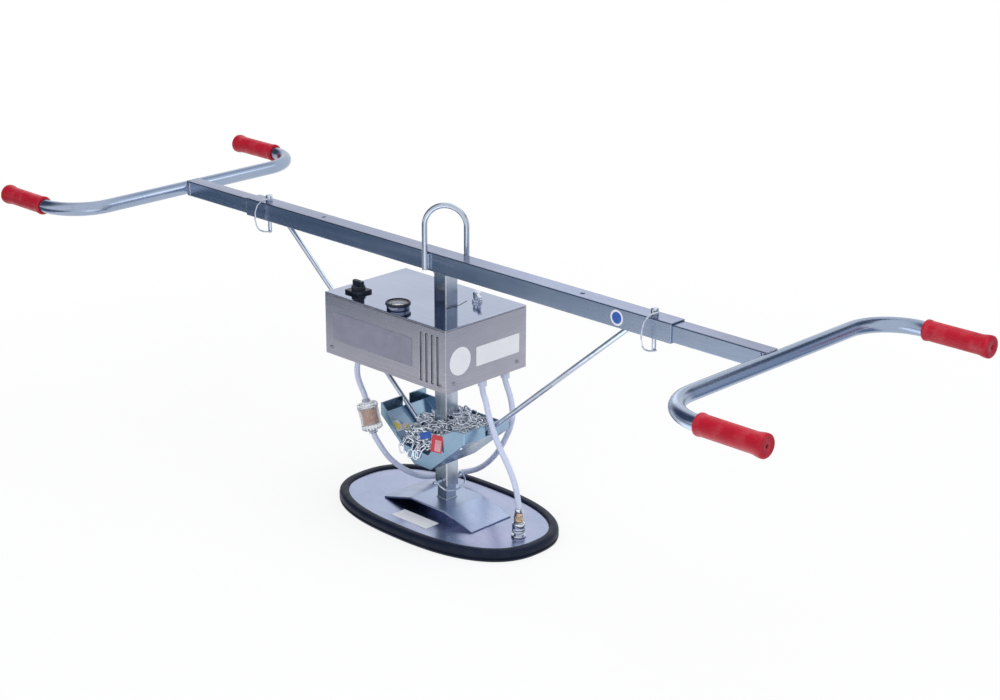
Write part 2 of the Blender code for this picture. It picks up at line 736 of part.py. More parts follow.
half = spigot_width / 2
bore_half = half - spigot_wall
spigot = block("spigot", (-half, -half, saddle_top + gap), (half, half, spigot_top))
cut(spigot, block("bore", (-bore_half, -bore_half, saddle_top), (bore_half, bore_half, spigot_top + 0.01)))
drill(spigot, pin_bore, (0, 0, foot_pin_height), "y", 2 * column_width)
finish(spigot, "zinc")

# Quick coupling on the plate.
core = 0.008
flange_top = 0.004
ring_low = 0.0275
socket = lathe("coupling_socket", [
    (0, 0), (0.014, 0), (0.014, flange_top), (core, flange_top), (core, ring_low), (core + 0.0016, ring_low),
    (core + 0.0016, ring_low + 0.0015), (core, ring_low + 0.0025), (0, ring_low + 0.0025),
], 18, (coupling_x, 0, plate_top + gap))
finish(socket, "chrome", 35)
sleeve_low = flange_top + gap + sleeve_travel
sleeve = lathe("coupling_sleeve", [
    (core + gap, 0), (0.0115, 0), (0.0122, 0.0012), (0.0122, ring_low - gap - sleeve_low - 0.0012),
    (0.0115, ring_low - gap - sleeve_low), (core + gap, ring_low - gap - sleeve_low),
], 18, (coupling_x, 0, plate_top + gap + sleeve_low))
finish(sleeve, "chrome", 35)
plug_low = plate_top + gap + ring_low + 0.0025 + gap
plug_length = 0.017
plug = lathe("coupling_plug", [
    (0, 0), (0.0085, 0), (0.0092, 0.001), (0.0092, 0.011), (0.0078, 0.012), (0.0078, plug_length),
    (hose_bore, plug_length), (hose_bore, plug_length - 0.007), (0, plug_length - 0.007),
], 12, (coupling_x, 0, plug_low))
finish(plug, "brass", 35)

# Clear filter in the suction line.
filter_centre = Vector((-0.147, -0.060, 0.180))
filter_tilt = math.radians(-18.4)
filter_radius = 0.0205
bowl_half = 0.0150
cap_height = 0.012
filter_turn = Matrix.Rotation(filter_tilt, 4, "Y")


def on_filter(obj):
    obj.matrix_world = Matrix.Translation(filter_centre) @ filter_turn
    return obj


bowl = lathe("filter_bowl", [
    (filter_radius - 0.0028, -bowl_half), (filter_radius - 0.001, -bowl_half),
    (filter_radius - 0.001, bowl_half), (filter_radius - 0.0028, bowl_half),
], 20)
finish(on_filter(bowl), "clear", 35)
element = lathe("filter_element", [
    (0, -bowl_half + gap), (0.013, -bowl_half + gap), (0.014, -0.004), (0.0125, 0.0), (0.014, 0.004),
    (0.013, bowl_half - gap), (0, bowl_half - gap),
], 16)
finish(on_filter(element), "mesh", 35)
for word, way in (("upper", 1), ("lower", -1)):
    start = bowl_half + gap
    cap = lathe(f"filter_cap_{word}", [(r, way * z) for r, z in (
        (0, start), (filter_radius - 0.001, start), (filter_radius, start + 0.002),
        (filter_radius, start + cap_height - 0.004),
        (filter_radius - 0.005, start + cap_height), (hose_bore + 0.0025, start + cap_height),
        (hose_bore + 0.0025, start + cap_height + 0.006), (hose_bore, start + cap_height + 0.006),
        (hose_bore, start + cap_height - 0.002), (0, start + cap_height - 0.002),
    )], 20)
    finish(on_filter(cap), "clear", 35)


# Hoses.
def smooth_path(points, count):
    """Even steps along a smooth curve through the given points, with a straight stub at each end."""
    pts = [Vector(p) for p in points]
    fine = []
    for i in range(1, len(pts) - 2):
        a, b, c, d = pts[i - 1:i + 3]
        for k in range(12):
            t = k / 12
            fine.append(0.5 * (2 * b + (c - a) * t + (2 * a - 5 * b + 4 * c - d) * t * t
                               + (3 * b - a - 3 * c + d) * t ** 3))
    fine.append(pts[-2])
    lengths = [0.0]
    for i in range(1, len(fine)):
        lengths.append(lengths[-1] + (fine[i] - fine[i - 1]).length)
    out = []
    j = 0
    for k in range(count):
        want = lengths[-1] * k / (count - 1)
        while j < len(lengths) - 2 and lengths[j + 1] < want:
            j += 1
        share = (want - lengths[j]) / max(1e-9, lengths[j + 1] - lengths[j])
        out.append(fine[j].lerp(fine[j + 1], min(1.0, share)))
    return [pts[0]] + out + [pts[-1]]


def hose(name, points, count):
    curve = bpy.data.curves.new(name, "CURVE")
    curve.dimensions = "3D"
    curve.bevel_depth = hose_radius
    curve.bevel_resolution = 2
    curve.use_fill_caps = True
    spline = curve.splines.new("POLY")
    path = smooth_path(points, count)
    spline.points.add(len(path) - 1)
    for point, place in zip(spline.points, path):
        point.co = (*place, 1.0)
    obj = bpy.data.objects.new(name, curve)
    bpy.context.scene.collection.objects.link(obj)
    curve.materials.append(material(name, *FINISH["milky"]))
    return obj


port_mouth = box_bottom - 0.005 - gap
filter_up = (filter_turn @ Vector((0, 0, 1, 0))).to_3d()
socket_floor = bowl_half + gap + cap_height - 0.002 + gap
upper_end = filter_centre + filter_up * socket_floor
lower_end = filter_centre - filter_up * socket_floor
px, py = port_places["plate"]
plug_floor = plug_low + plug_length - 0.007 + gap
hose("hose_plate", [
    (px, py, port_mouth), (px, py, port_mouth - 0.013), (px + 0.005, py - 0.002, port_mouth - 0.023),
    (0.107, -0.004, 0.262), (0.120, -0.010, 0.242), (0.130, -0.0125, 0.226), (0.141, -0.010, 0.197),
    (0.156, -0.008, 0.171), (0.171, -0.006, 0.146), (0.183, -0.003, 0.114),
    (coupling_x, 0, plug_floor + 0.018), (coupling_x, 0, plug_floor),
], 12)
px, py = port_places["filter_out"]
hose("hose_filter_out", [
    (px, py, port_mouth), (px, py, port_mouth - 0.013), (px + 0.005, py + 0.0015, port_mouth - 0.028),
    (0.1035, 0.066, 0.246), (0.108, 0.066, 0.216), (0.0975, 0.070, 0.187), (0.0815, 0.076, 0.162),
    (0.063, 0.085, 0.139), (0.040, 0.0965, 0.1145), (0.015, 0.107, 0.0905), (-0.010, 0.115, 0.069),
    (-0.034, 0.1185, 0.0515), (-0.056, 0.115, 0.0405), (-0.0755, 0.102, 0.0355), (-0.0885, 0.080, 0.035),
    (-0.0935, 0.056, 0.037), (-0.095, 0.032, 0.043), (-0.0975, 0.008, 0.0545), (-0.105, -0.014, 0.070),
    (-0.1155, -0.033, 0.090), (-0.1235, -0.047, 0.112),
    tuple(lower_end - filter_up * 0.013), tuple(lower_end),
], 26)
px, py = port_places["filter_in"]
hose("hose_filter_in", [
    (px, py, port_mouth), (px, py, port_mouth - 0.013), (px - 0.004, py, port_mouth - 0.028),
    (px - 0.001, py, port_mouth - 0.050), tuple(upper_end + filter_up * 0.013), tuple(upper_end),
], 5)

clamp_inner = hose_radius + gap
clamp = lathe("hose_clamp", [
    (clamp_inner, 0), (clamp_inner + 0.0016, 0), (clamp_inner + 0.0016, 0.007), (clamp_inner, 0.007),
], 16, (coupling_x, 0, plug_low + plug_length + 0.0008))
join(clamp, block("ear", (clamp_inner + 0.0004, -0.003, 0.001), (clamp_inner + 0.007, 0.003, 0.006),
                  (coupling_x, 0, plug_low + plug_length + 0.0008)))
finish(clamp, "steel", 35)
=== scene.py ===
"""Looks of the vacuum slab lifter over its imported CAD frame. Metres, Z up, the seal rests on Z = 0."""

import random
from math import atan, copysign, cos, hypot, pi, radians, sin

import bmesh
import bpy
from mathutils import Matrix, Vector


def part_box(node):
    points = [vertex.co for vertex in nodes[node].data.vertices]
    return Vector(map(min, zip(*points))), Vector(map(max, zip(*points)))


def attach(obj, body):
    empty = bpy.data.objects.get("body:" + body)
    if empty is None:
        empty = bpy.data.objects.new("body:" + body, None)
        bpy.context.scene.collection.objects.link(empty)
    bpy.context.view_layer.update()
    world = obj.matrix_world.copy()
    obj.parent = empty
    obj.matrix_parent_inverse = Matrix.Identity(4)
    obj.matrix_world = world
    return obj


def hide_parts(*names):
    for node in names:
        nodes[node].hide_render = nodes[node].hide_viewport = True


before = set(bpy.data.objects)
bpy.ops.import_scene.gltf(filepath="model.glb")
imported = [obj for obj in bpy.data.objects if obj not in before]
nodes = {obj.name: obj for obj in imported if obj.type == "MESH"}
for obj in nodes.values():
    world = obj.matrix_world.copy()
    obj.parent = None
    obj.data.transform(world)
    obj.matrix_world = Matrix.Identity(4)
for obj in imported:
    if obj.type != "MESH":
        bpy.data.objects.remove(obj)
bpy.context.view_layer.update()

# Camera, fitted to the photograph.
camera_place = (2.6269, -2.5697, 1.6461)
camera_azimuth = 44.078
camera_elevation = 19.643
camera_roll = 0.237
camera_lens = 75.939
sensor_width = 36.0

# Places and sizes read from the frame.
bar_low, bar_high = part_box("crossbar")
bar_width = bar_high.y - bar_low.y
bar_axis = (bar_low.z + bar_high.z) / 2
hood_low, hood_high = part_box("hood")
column_low, column_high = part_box("column")
column_half = column_high.x
plate_low, plate_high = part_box("suction_plate")
plate_top = plate_high.z
saddle_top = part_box("saddle_bracket")[1].z

# Sizes that the frame's boxes don't say.
tube_radius = 0.01345
bend_radius = 0.090
rod_radius = 0.005
strut_slope = 0.85              # rise of the struts, and of the tray's slopes, over their run
strut_top_x = 0.443
hose_diameter = 0.011
stand_off = 0.0002              # of stickers, screws and the seam above the face that carries them
sides = (("left", -1), ("right", 1))


def middle(node, z=0.0):
    """The middle of a node's box, seen from above."""
    low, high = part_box(node)
    return Vector(((low.x + high.x) / 2, (low.y + high.y) / 2, z))


# Meshes.
def linked(name, data):
    """A new object in the scene."""
    obj = bpy.data.objects.new(name, data)
    bpy.context.scene.collection.objects.link(obj)
    return obj


def placed(shape, at):
    """A shape, as its vertices and faces, moved by a matrix or to a point."""
    matrix = at if isinstance(at, Matrix) else Matrix.Translation(at)
    verts, faces = shape
    return [matrix @ v for v in verts], faces


def build(name, shape, mat, stands_for=None, at=None, body="frame", smooth=35.0):
    """A piece that rides on a body. It may replace a CAD node, which is then hidden. Edges sharper
    than smooth degrees stay sharp."""
    verts, faces = shape if at is None else placed(shape, at)
    mesh = bpy.data.meshes.new(name)
    mesh.from_pydata([tuple(v) for v in verts], [], faces)
    bm = bmesh.new()
    bm.from_mesh(mesh)
    bmesh.ops.recalc_face_normals(bm, faces=bm.faces)
    bm.to_mesh(mesh)
    bm.free()
    mesh.polygons.foreach_set("use_smooth", [True] * len(mesh.polygons))
    mesh.set_sharp_from_angle(angle=radians(smooth))
    mesh.materials.append(mat)
    obj = linked(name, mesh)
    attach(obj, body)
    if stands_for:
        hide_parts(stands_for)
    return obj


def bevelled(obj, width):
    """Rounds a piece's edges. A CAD node is welded first, because its mesh comes with split corners."""
    weld = obj.modifiers.new("weld", "WELD")
    weld.merge_threshold = 0.00001
    bevel = obj.modifiers.new("round", "BEVEL")
    bevel.width = width
    bevel.segments = 3
    bevel.limit_method = "ANGLE"
    bevel.angle_limit = radians(35)
    bevel.harden_normals = True


def dress(node, mat, bevel=0.0):
    """Gives a CAD node its material, and rounded edges where its corners would look too sharp."""
    obj = nodes[node]
    obj.data.materials.clear()
    obj.data.materials.append(mat)
    if bevel:
        bevelled(obj, bevel)


def frames_along(points):
    """A frame at each point of a path that turns no more than the path does."""
    pts = [Vector(p) for p in points]
    steps = [(b - a).normalized() for a, b in zip(pts, pts[1:])]
    tangents = [(a + b).normalized() for a, b in zip(steps[:1] + steps, steps + steps[-1:])]
    side = Vector((0, 0, 1)) if abs(tangents[0].z) < 0.9 else Vector((1, 0, 0))
    out = []
    for i, point in enumerate(pts):
        if i:
            side = tangents[i - 1].rotation_difference(tangents[i]) @ side
        side = (side - tangents[i] * side.dot(tangents[i])).normalized()
        out.append((point, side, tangents[i].cross(side)))
    return out


def ring_faces(rows, count, closed):
    """Faces between rings of count vertices each, which follow one another."""
    faces = []
    for i in range(rows if closed else rows - 1):
        j = (i + 1) % rows
        for k in range(count):
            m = (k + 1) % count
            faces.append((i * count + k, i * count + m, j * count + m, j * count + k))
    return faces


def swept(points, radius, sides, closed=False):
    """Vertices and faces of a round bar along a path; radius may be a function of the point's number."""
    verts = []
    path = frames_along(points)
    for i, (point, side, up) in enumerate(path):
        size = radius(i) if callable(radius) else radius
        verts += [point + side * x + up * y for x, y in circle(size, sides)]
    rows = len(path)
    faces = ring_faces(rows, sides, closed)
    if not closed:
        faces.append(tuple(range(sides)))
        faces.append(tuple((rows - 1) * sides + k for k in range(sides)))
    return verts, faces


def turned(profile, steps, ripple=None):
    """Vertices and faces of (radius, z) points turned round Z; ripple(angle, z) is added to the radius."""
    verts = []
    rings = []
    for radius, z in profile:
        if radius < 1e-9:
            verts.append(Vector((0, 0, z)))
            rings.append([len(verts) - 1])
            continue
        first = len(verts)
        for k in range(steps):
            angle = 2 * pi * k / steps
            size = radius + (ripple(angle, z) if ripple else 0.0)
            verts.append(Vector((size * cos(angle), size * sin(angle), z)))
        rings.append(list(range(first, first + steps)))
    faces = []
    rows = len(rings) if len(rings[0]) > 1 and len(rings[-1]) > 1 else len(rings) - 1
    for i in range(rows):
        a = rings[i]
        b = rings[(i + 1) % len(rings)]
        for k in range(steps):
            m = (k + 1) % steps
            if len(a) == 1:
                faces.append((a[0], b[k], b[m]))
            elif len(b) == 1:
                faces.append((a[k], b[0], a[m]))
            else:
                faces.append((a[k], b[k], b[m], a[m]))
    return verts, faces


def merged(shapes):
    """Several shapes as one mesh."""
    verts = []
    faces = []
    for more_verts, more_faces in shapes:
        start = len(verts)
        verts.extend(more_verts)
        faces.extend([tuple(start + i for i in face) for face in more_faces])
    return verts, faces


def slab(outline, low, high):
    """A flat plate with any outline of (x, y) points, from one level to another."""
    count = len(outline)
    verts = [Vector((x, y, z)) for z in (low, high) for x, y in outline]
    faces = [tuple(range(count)), tuple(range(count, 2 * count))]
    faces += [(i, (i + 1) % count, count + (i + 1) % count, count + i) for i in range(count)]
    return verts, faces


def arc(centre, radius, start, end, count):
    """Points on a circle from one angle to another, in degrees."""
    angles = [radians(start + (end - start) * k / count) for k in range(count + 1)]
    return [(centre[0] + radius * cos(a), centre[1] + radius * sin(a)) for a in angles]


def circle(radius, count=64):
    return arc((0, 0), radius, 0, 360, count)[:-1]


def between(a, b, count):
    """The points that part a straight stretch into count steps, without its ends."""
    return [(a[0] + (b[0] - a[0]) * k / count, a[1] + (b[1] - a[1]) * k / count) for k in range(1, count)]


def rounded(width, height, corner):
    """Outline of a rectangle with round corners."""
    out = []
    for turn, sx, sy in ((0, 1, 1), (90, -1, 1), (180, -1, -1), (270, 1, -1)):
        out += arc((sx * (width / 2 - corner), sy * (height / 2 - corner)), corner, turn, turn + 90, 6)
    return out


def fluted(depth, count, low, high, way=1):
    """A ripple of grooves round a turned body, between two levels on either side of its middle."""
    return lambda angle, z: -depth * (1 + way * cos(count * angle)) if low < abs(z) < high else 0.0


def six_sided(radius, low, high):
    """A ripple that cuts flats on a turned body of this radius, between two levels."""
    half = pi / 6
    return lambda angle, z: (radius * (cos(half) / cos((angle + half) % (2 * half) - half) - 1)
                             if low < z < high else 0.0)


def facing(place, normal, up=(0, 0, 1)):
    """Places a shape so that its Z points along normal and its Y along up."""
    z = Vector(normal).normalized()
    x = Vector(up).cross(z).normalized()
    turn = Matrix((x, z.cross(x), z)).transposed().to_4x4()
    return Matrix.Translation(place) @ turn


# Materials.
def fill(tree, socket, value):
    """Gives a socket a link, a colour or a plain value."""
    if hasattr(value, "links"):
        tree.links.new(value, socket)
    else:
        socket.default_value = (*value, 1) if socket.type == "RGBA" else value


def add_node(tree, kind, inputs, **settings):
    """The outputs of a new shader node; inputs says what its sockets get, by name or number."""
    made = tree.nodes.new(f"ShaderNode{kind}")
    for key, value in settings.items():
        setattr(made, key, value)
    for socket, value in inputs.items():
        fill(tree, made.inputs[socket], value)
    return made.outputs


def surface(name, colour, roughness, metallic=0.0, **direct):
    """A Principled material; direct sets further sockets that are the same all over."""
    mat = bpy.data.materials.new(name)
    mat.use_nodes = True
    tree = mat.node_tree
    shader = tree.nodes["Principled BSDF"]
    direct.update(Base_Color=colour, Roughness=roughness, Metallic=metallic)
    for socket, value in direct.items():
        fill(tree, shader.inputs[socket.replace("_", " ")], value)
    return mat, tree, shader


def coat(tree, shader, colour, roughness):
    """Links a colour and a roughness that vary over the surface."""
    fill(tree, shader.inputs["Base Color"], colour)
    fill(tree, shader.inputs["Roughness"], roughness)


def pattern(tree, scale, stretch=(1, 1, 1), detail=4.0, kind="Noise"):
    """A procedural texture in the row frame, in repeats per metre, squeezed along each axis by stretch."""
    place = add_node(tree, "TexCoord", {})["Object"]
    mapping = add_node(tree, "Mapping", {"Vector": place, "Scale": stretch})["Vector"]
    texture = add_node(tree, f"Tex{kind}", {"Vector": mapping, "Scale": scale, "Detail": detail})
    return texture["Fac" if kind == "Noise" else "Distance"]


def ramp(tree, value, stops):
    node = tree.nodes.new("ShaderNodeValToRGB")
    elements = node.color_ramp.elements
    while len(elements) < len(stops):
        elements.new(0.5)
    for element, (at, colour) in zip(elements, stops):
        element.position = at
        element.color = (*colour, 1)
    tree.links.new(value, node.inputs["Fac"])
    return node.outputs["Color"]


def scaled(tree, value, low, high, start=0.3, end=0.7):
    sockets = {"Value": value, "From Min": start, "From Max": end, "To Min": low, "To Max": high}
    return add_node(tree, "MapRange", sockets)["Result"]


def mixed(tree, factor, one, two, blend="MIX"):
    sockets = {"Factor": factor, "A": one, "B": two}
    return add_node(tree, "Mix", sockets, data_type="RGBA", blend_type=blend)["Result"]


def upward_faces(tree):
    """1 on faces that look up, 0 on the sides."""
    split = add_node(tree, "SeparateXYZ", {"Vector": add_node(tree, "TexCoord", {})["Normal"]})
    return scaled(tree, split["Z"], 0.0, 1.0, 0.4, 0.6)


def relief(tree, shader, height, strength, distance):
    """A bump on top of what the shader's normal has already."""
    sockets = {"Strength": strength, "Distance": distance, "Height": height}
    if shader.inputs["Normal"].links:
        sockets["Normal"] = shader.inputs["Normal"].links[0].from_socket
    fill(tree, shader.inputs["Normal"], add_node(tree, "Bump", sockets)["Normal"])


def soft_corners(tree, shader, radius):
    """Rounds the shading at a sharp corner, as the sheet's or tube's real bend radius does."""
    fill(tree, shader.inputs["Normal"], add_node(tree, "Bevel", {"Radius": radius}, samples=6)["Normal"])


def galvanised(name, drawn, tint=(0.355, 0.425, 0.555), dull=0.17, upper=None):
    """Zinc-plated steel: bluish and lavender clouds of the passivation, faint draw lines, small dull spots.
    The colour of upward faces is multiplied by upper, which paints shade onto them."""
    mat, tree, shader = surface(name, tint, 0.26, 1.0)

    def tinted(*shares):
        return tuple(c * share for c, share in zip(tint, shares))

    cloud = pattern(tree, 9.0, detail=3.0)
    base = ramp(tree, cloud, [(0.30, tinted(0.90, 0.94, 0.96)), (0.52, tint),
                              (0.74, tinted(1.13, 1.04, 1.06))])
    lines = pattern(tree, 260.0, drawn, 3.0)
    base = mixed(tree, scaled(tree, lines, 0.0, 0.18), base, tinted(0.72, 0.74, 0.76))
    spots = pattern(tree, 70.0, detail=6.0)
    base = mixed(tree, scaled(tree, spots, 0.0, 0.22, 0.60, 0.72), base, tinted(0.60, 0.64, 0.68))
    # painted shade: upper darkens the upward faces and tints them lavender
    if upper:
        base = mixed(tree, upward_faces(tree), base, mixed(tree, 1.0, base, upper, "MULTIPLY"))
    coat(tree, shader, base, scaled(tree, pattern(tree, 40.0, drawn, 5.0), dull, dull + 0.13))
    soft_corners(tree, shader, 0.0021)
    relief(tree, shader, lines, 0.08, 0.0003)
    relief(tree, shader, spots, 0.04, 0.0005)
    return mat


def stainless(name):
    """Brushed stainless sheet: the brush lines run level on the walls and along X on the top. The top's bluer
    colour is a painted reflection.
    """
    mat, tree, shader = surface(name, (0.44, 0.44, 0.50), 0.3, 1.0)
    upward = upward_faces(tree)
    lines = mixed(tree, upward, pattern(tree, 30.0, (0.10, 0.10, 22.0)),
                  pattern(tree, 30.0, (0.12, 20.0, 0.12)))
    cloud = pattern(tree, 7.0, (1, 1, 1.4), 3.0)
    walls = ramp(tree, cloud, [(0.30, (0.37, 0.37, 0.43)), (0.70, (0.44, 0.44, 0.51))])
    # painted reflection: the top is a bluer copy of the walls' colour
    top = ramp(tree, cloud, [(0.30, (0.36, 0.42, 0.58)), (0.70, (0.42, 0.48, 0.65))])
    brushed = scaled(tree, lines, 0.0, 0.24, 0.35, 0.7)
    gloss = mixed(tree, upward, scaled(tree, lines, 0.24, 0.38), scaled(tree, lines, 0.05, 0.13))
    coat(tree, shader, mixed(tree, brushed, mixed(tree, upward, walls, top), (0.32, 0.32, 0.38)), gloss)
    soft_corners(tree, shader, 0.0025)
    relief(tree, shader, lines, 0.10, 0.0003)
    return mat


def bright_metal(name, colour, roughness, wear=0.08, scale=120.0):
    """Plated or bare metal with fine scratches and small marks in its gloss."""
    mat, tree, shader = surface(name, colour, roughness, 1.0)
    marks = pattern(tree, scale, detail=8.0)
    worn = mixed(tree, scaled(tree, marks, 0.0, 0.6, 0.45, 0.75), colour, tuple(c * 0.62 for c in colour))
    coat(tree, shader, worn, scaled(tree, marks, roughness, roughness + wear))
    relief(tree, shader, marks, 0.05, 0.0003)
    return mat


def moulded(name, colour, roughness, grain=900.0, depth=0.12, mottle=0.18, gloss=0.5):
    """Moulded plastic or rubber: a fine grain, cloudy colour and rubbed patches."""
    mat, tree, shader = surface(name, colour, roughness, Specular_IOR_Level=gloss)
    cloud = pattern(tree, 45.0, detail=6.0)
    paler = tuple(c + (1 - c) * mottle * 0.35 for c in colour)
    darker = tuple(c * (1 - mottle) for c in colour)
    coat(tree, shader, ramp(tree, cloud, [(0.3, darker), (0.5, colour), (0.72, paler)]),
         scaled(tree, cloud, roughness + 0.08, roughness - 0.06))
    relief(tree, shader, pattern(tree, grain, detail=3.0), depth, 0.0003)
    return mat


def see_through(name, colour, roughness, share, cloudiness, **direct):
    """Clear or milky plastic; share is how much light passes."""
    mat, tree, shader = surface(name, colour, roughness, Transmission_Weight=share, IOR=1.42, **direct)
    cloud = pattern(tree, 60.0)
    darker = tuple(c * (1 - cloudiness) for c in colour)
    coat(tree, shader, ramp(tree, cloud, [(0.3, darker), (0.7, colour)]),
         scaled(tree, cloud, roughness, roughness + 0.10))
    return mat


def filter_cloth(name):
    """The cartridge's orange weave."""
    mat, tree, shader = surface(name, (0.70, 0.38, 0.18), 0.6)
    weave = pattern(tree, 420.0, detail=0.0, kind="Voronoi")
    cloud = pattern(tree, 60.0, (1, 1, 2.5))
    base = ramp(tree, cloud, [(0.3, (0.66, 0.25, 0.09)), (0.55, (0.92, 0.42, 0.17)),
                              (0.75, (0.98, 0.58, 0.30))])
    fill(tree, shader.inputs["Base Color"],
         mixed(tree, scaled(tree, weave, 0.35, 0.0, 0.1, 0.6), base, (0.34, 0.14, 0.06)))
    relief(tree, shader, weave, 0.5, 0.0004)
    return mat


# zinc_x paints shade onto the tops of the crossbar and the inner tubes
zinc_x = galvanised("zinc_along_x", (0.05, 1, 1), upper=(0.80, 0.76, 0.84))
zinc_y = galvanised("zinc_along_y", (1, 0.05, 1))
zinc_z = galvanised("zinc_along_z", (1, 1, 0.05), (0.48, 0.54, 0.62))
zinc_saddle = galvanised("zinc_saddle", (0.3, 1, 1), (0.42, 0.49, 0.67), 0.25)
zinc_tray = galvanised("zinc_tray", (0.3, 1, 1), (0.30, 0.44, 0.58))
zinc_plate = galvanised("zinc_plate", (0.3, 1, 1), (0.40, 0.455, 0.64))
hood_steel = stainless("brushed_stainless")
bead_metal = bright_metal("weld_bead", (0.50, 0.55, 0.64), 0.30, 0.2, 260.0)
pin_metal = bright_metal("plated_pin", (0.60, 0.65, 0.74), 0.16)
chain_metal = bright_metal("plated_chain", (0.84, 0.89, 0.96), 0.10, 0.08, 90.0)
screw_metal = bright_metal("dull_screw", (0.30, 0.31, 0.35), 0.34)
chrome = bright_metal("chrome", (0.62, 0.66, 0.74), 0.06, 0.06)
rod_metal = bright_metal("plated_rod", (0.52, 0.58, 0.68), 0.09, 0.06)
brass = bright_metal("brass", (0.58, 0.45, 0.33), 0.20, 0.12)
grip_red = moulded("grip_red", (0.44, 0.003, 0.020), 0.36, 700.0, 0.14, 0.10, 0.28)
black = moulded("black_plastic", (0.006, 0.010, 0.022), 0.32, mottle=0.06, gloss=0.34)
# painted shade for the dark lines on the tubes' round corners
painted_corner_shade = bright_metal("painted_corner_shade", (0.07, 0.10, 0.17), 0.30)
# painted highlight for the pale line on the column's corner
painted_corner_glint = bright_metal("painted_corner_glint", (0.94, 0.96, 0.99), 0.50)
gauge_metal = bright_metal("gauge_metal", (0.24, 0.27, 0.36), 0.10)
rubber = moulded("seal_rubber", (0.004, 0.009, 0.026), 0.42, 420.0, 0.20, 0.02, 0.18)
# painted shade under the hood's lid edge
painted_lid_shade = moulded("painted_lid_shade", (0.10, 0.10, 0.13), 0.5, 500.0, 0.05, 0.30)
dark_metal = moulded("cast_grey", (0.16, 0.17, 0.19), 0.5, 260.0, 0.3)
white_vinyl = moulded("white_vinyl", (0.84, 0.85, 0.89), 0.35, 500.0, 0.03, 0.03)
panel_vinyl = moulded("grey_vinyl", (0.235, 0.235, 0.31), 0.30, 500.0, 0.04, 0.08)
blue_vinyl = moulded("blue_vinyl", (0.015, 0.10, 0.45), 0.32, 500.0, 0.04, 0.12)
yellow_vinyl = moulded("yellow_vinyl", (0.92, 0.78, 0.14), 0.35, 500.0, 0.04, 0.12)
pale_red = moulded("pale_red", (0.72, 0.35, 0.40), 0.35, 500.0, 0.05, 0.20)
red_tag = moulded("red_tag", (0.60, 0.03, 0.05), 0.35, 500.0, 0.06, 0.15)
green_print = moulded("green_print", (0.05, 0.35, 0.10), 0.5, 500.0, 0.02, 0.05)
clear = see_through("clear_plastic", (0.86, 0.89, 0.94), 0.10, 0.85, 0.06)
glass = see_through("gauge_glass", (0.97, 0.98, 1.0), 0.02, 0.0, 0.02, Alpha=0.10)
milky = see_through("milky_hose", (0.68, 0.74, 0.93), 0.20, 0.10, 0.03)
mesh_cloth = filter_cloth("filter_mesh")

# Camera.
azimuth = radians(camera_azimuth)
elevation = radians(camera_elevation)
back = Vector((sin(azimuth) * cos(elevation), -cos(azimuth) * cos(elevation), sin(elevation)))
camera = linked("camera", bpy.data.cameras.new("camera"))
camera.data.lens = camera_lens
camera.data.sensor_width = sensor_width
camera.data.clip_start = 0.05
camera.data.clip_end = 60.0
camera.rotation_mode = "QUATERNION"
turn = (-back).to_track_quat("-Z", "Y").to_matrix() @ Matrix.Rotation(radians(camera_roll), 3, "Z")
camera.rotation_quaternion = turn.to_quaternion()
camera.location = camera_place
bpy.context.scene.camera = camera


# Hoses, on the routes of the CAD solids.
def smooth_path(points, count):
    """Even steps along a smooth curve through the given points, with a straight stub at each end."""
    pts = [Vector(p) for p in points]
    fine = []
    for i in range(1, len(pts) - 2):
        a, b, c, d = pts[i - 1:i + 3]
        for k in range(12):
            t = k / 12
            fine.append(0.5 * (2 * b + (c - a) * t + (2 * a - 5 * b + 4 * c - d) * t * t
                               + (3 * b - a - 3 * c + d) * t ** 3))
    fine.append(pts[-2])
    lengths = [0.0]
    for i in range(1, len(fine)):
        lengths.append(lengths[-1] + (fine[i] - fine[i - 1]).length)
    out = []
    j = 0
    for k in range(count):
        want = lengths[-1] * k / (count - 1)
        while j < len(lengths) - 2 and lengths[j + 1] < want:
            j += 1
        share = (want - lengths[j]) / max(1e-9, lengths[j + 1] - lengths[j])
        out.append(fine[j].lerp(fine[j + 1], min(1.0, share)))
    return [pts[0]] + out + [pts[-1]]


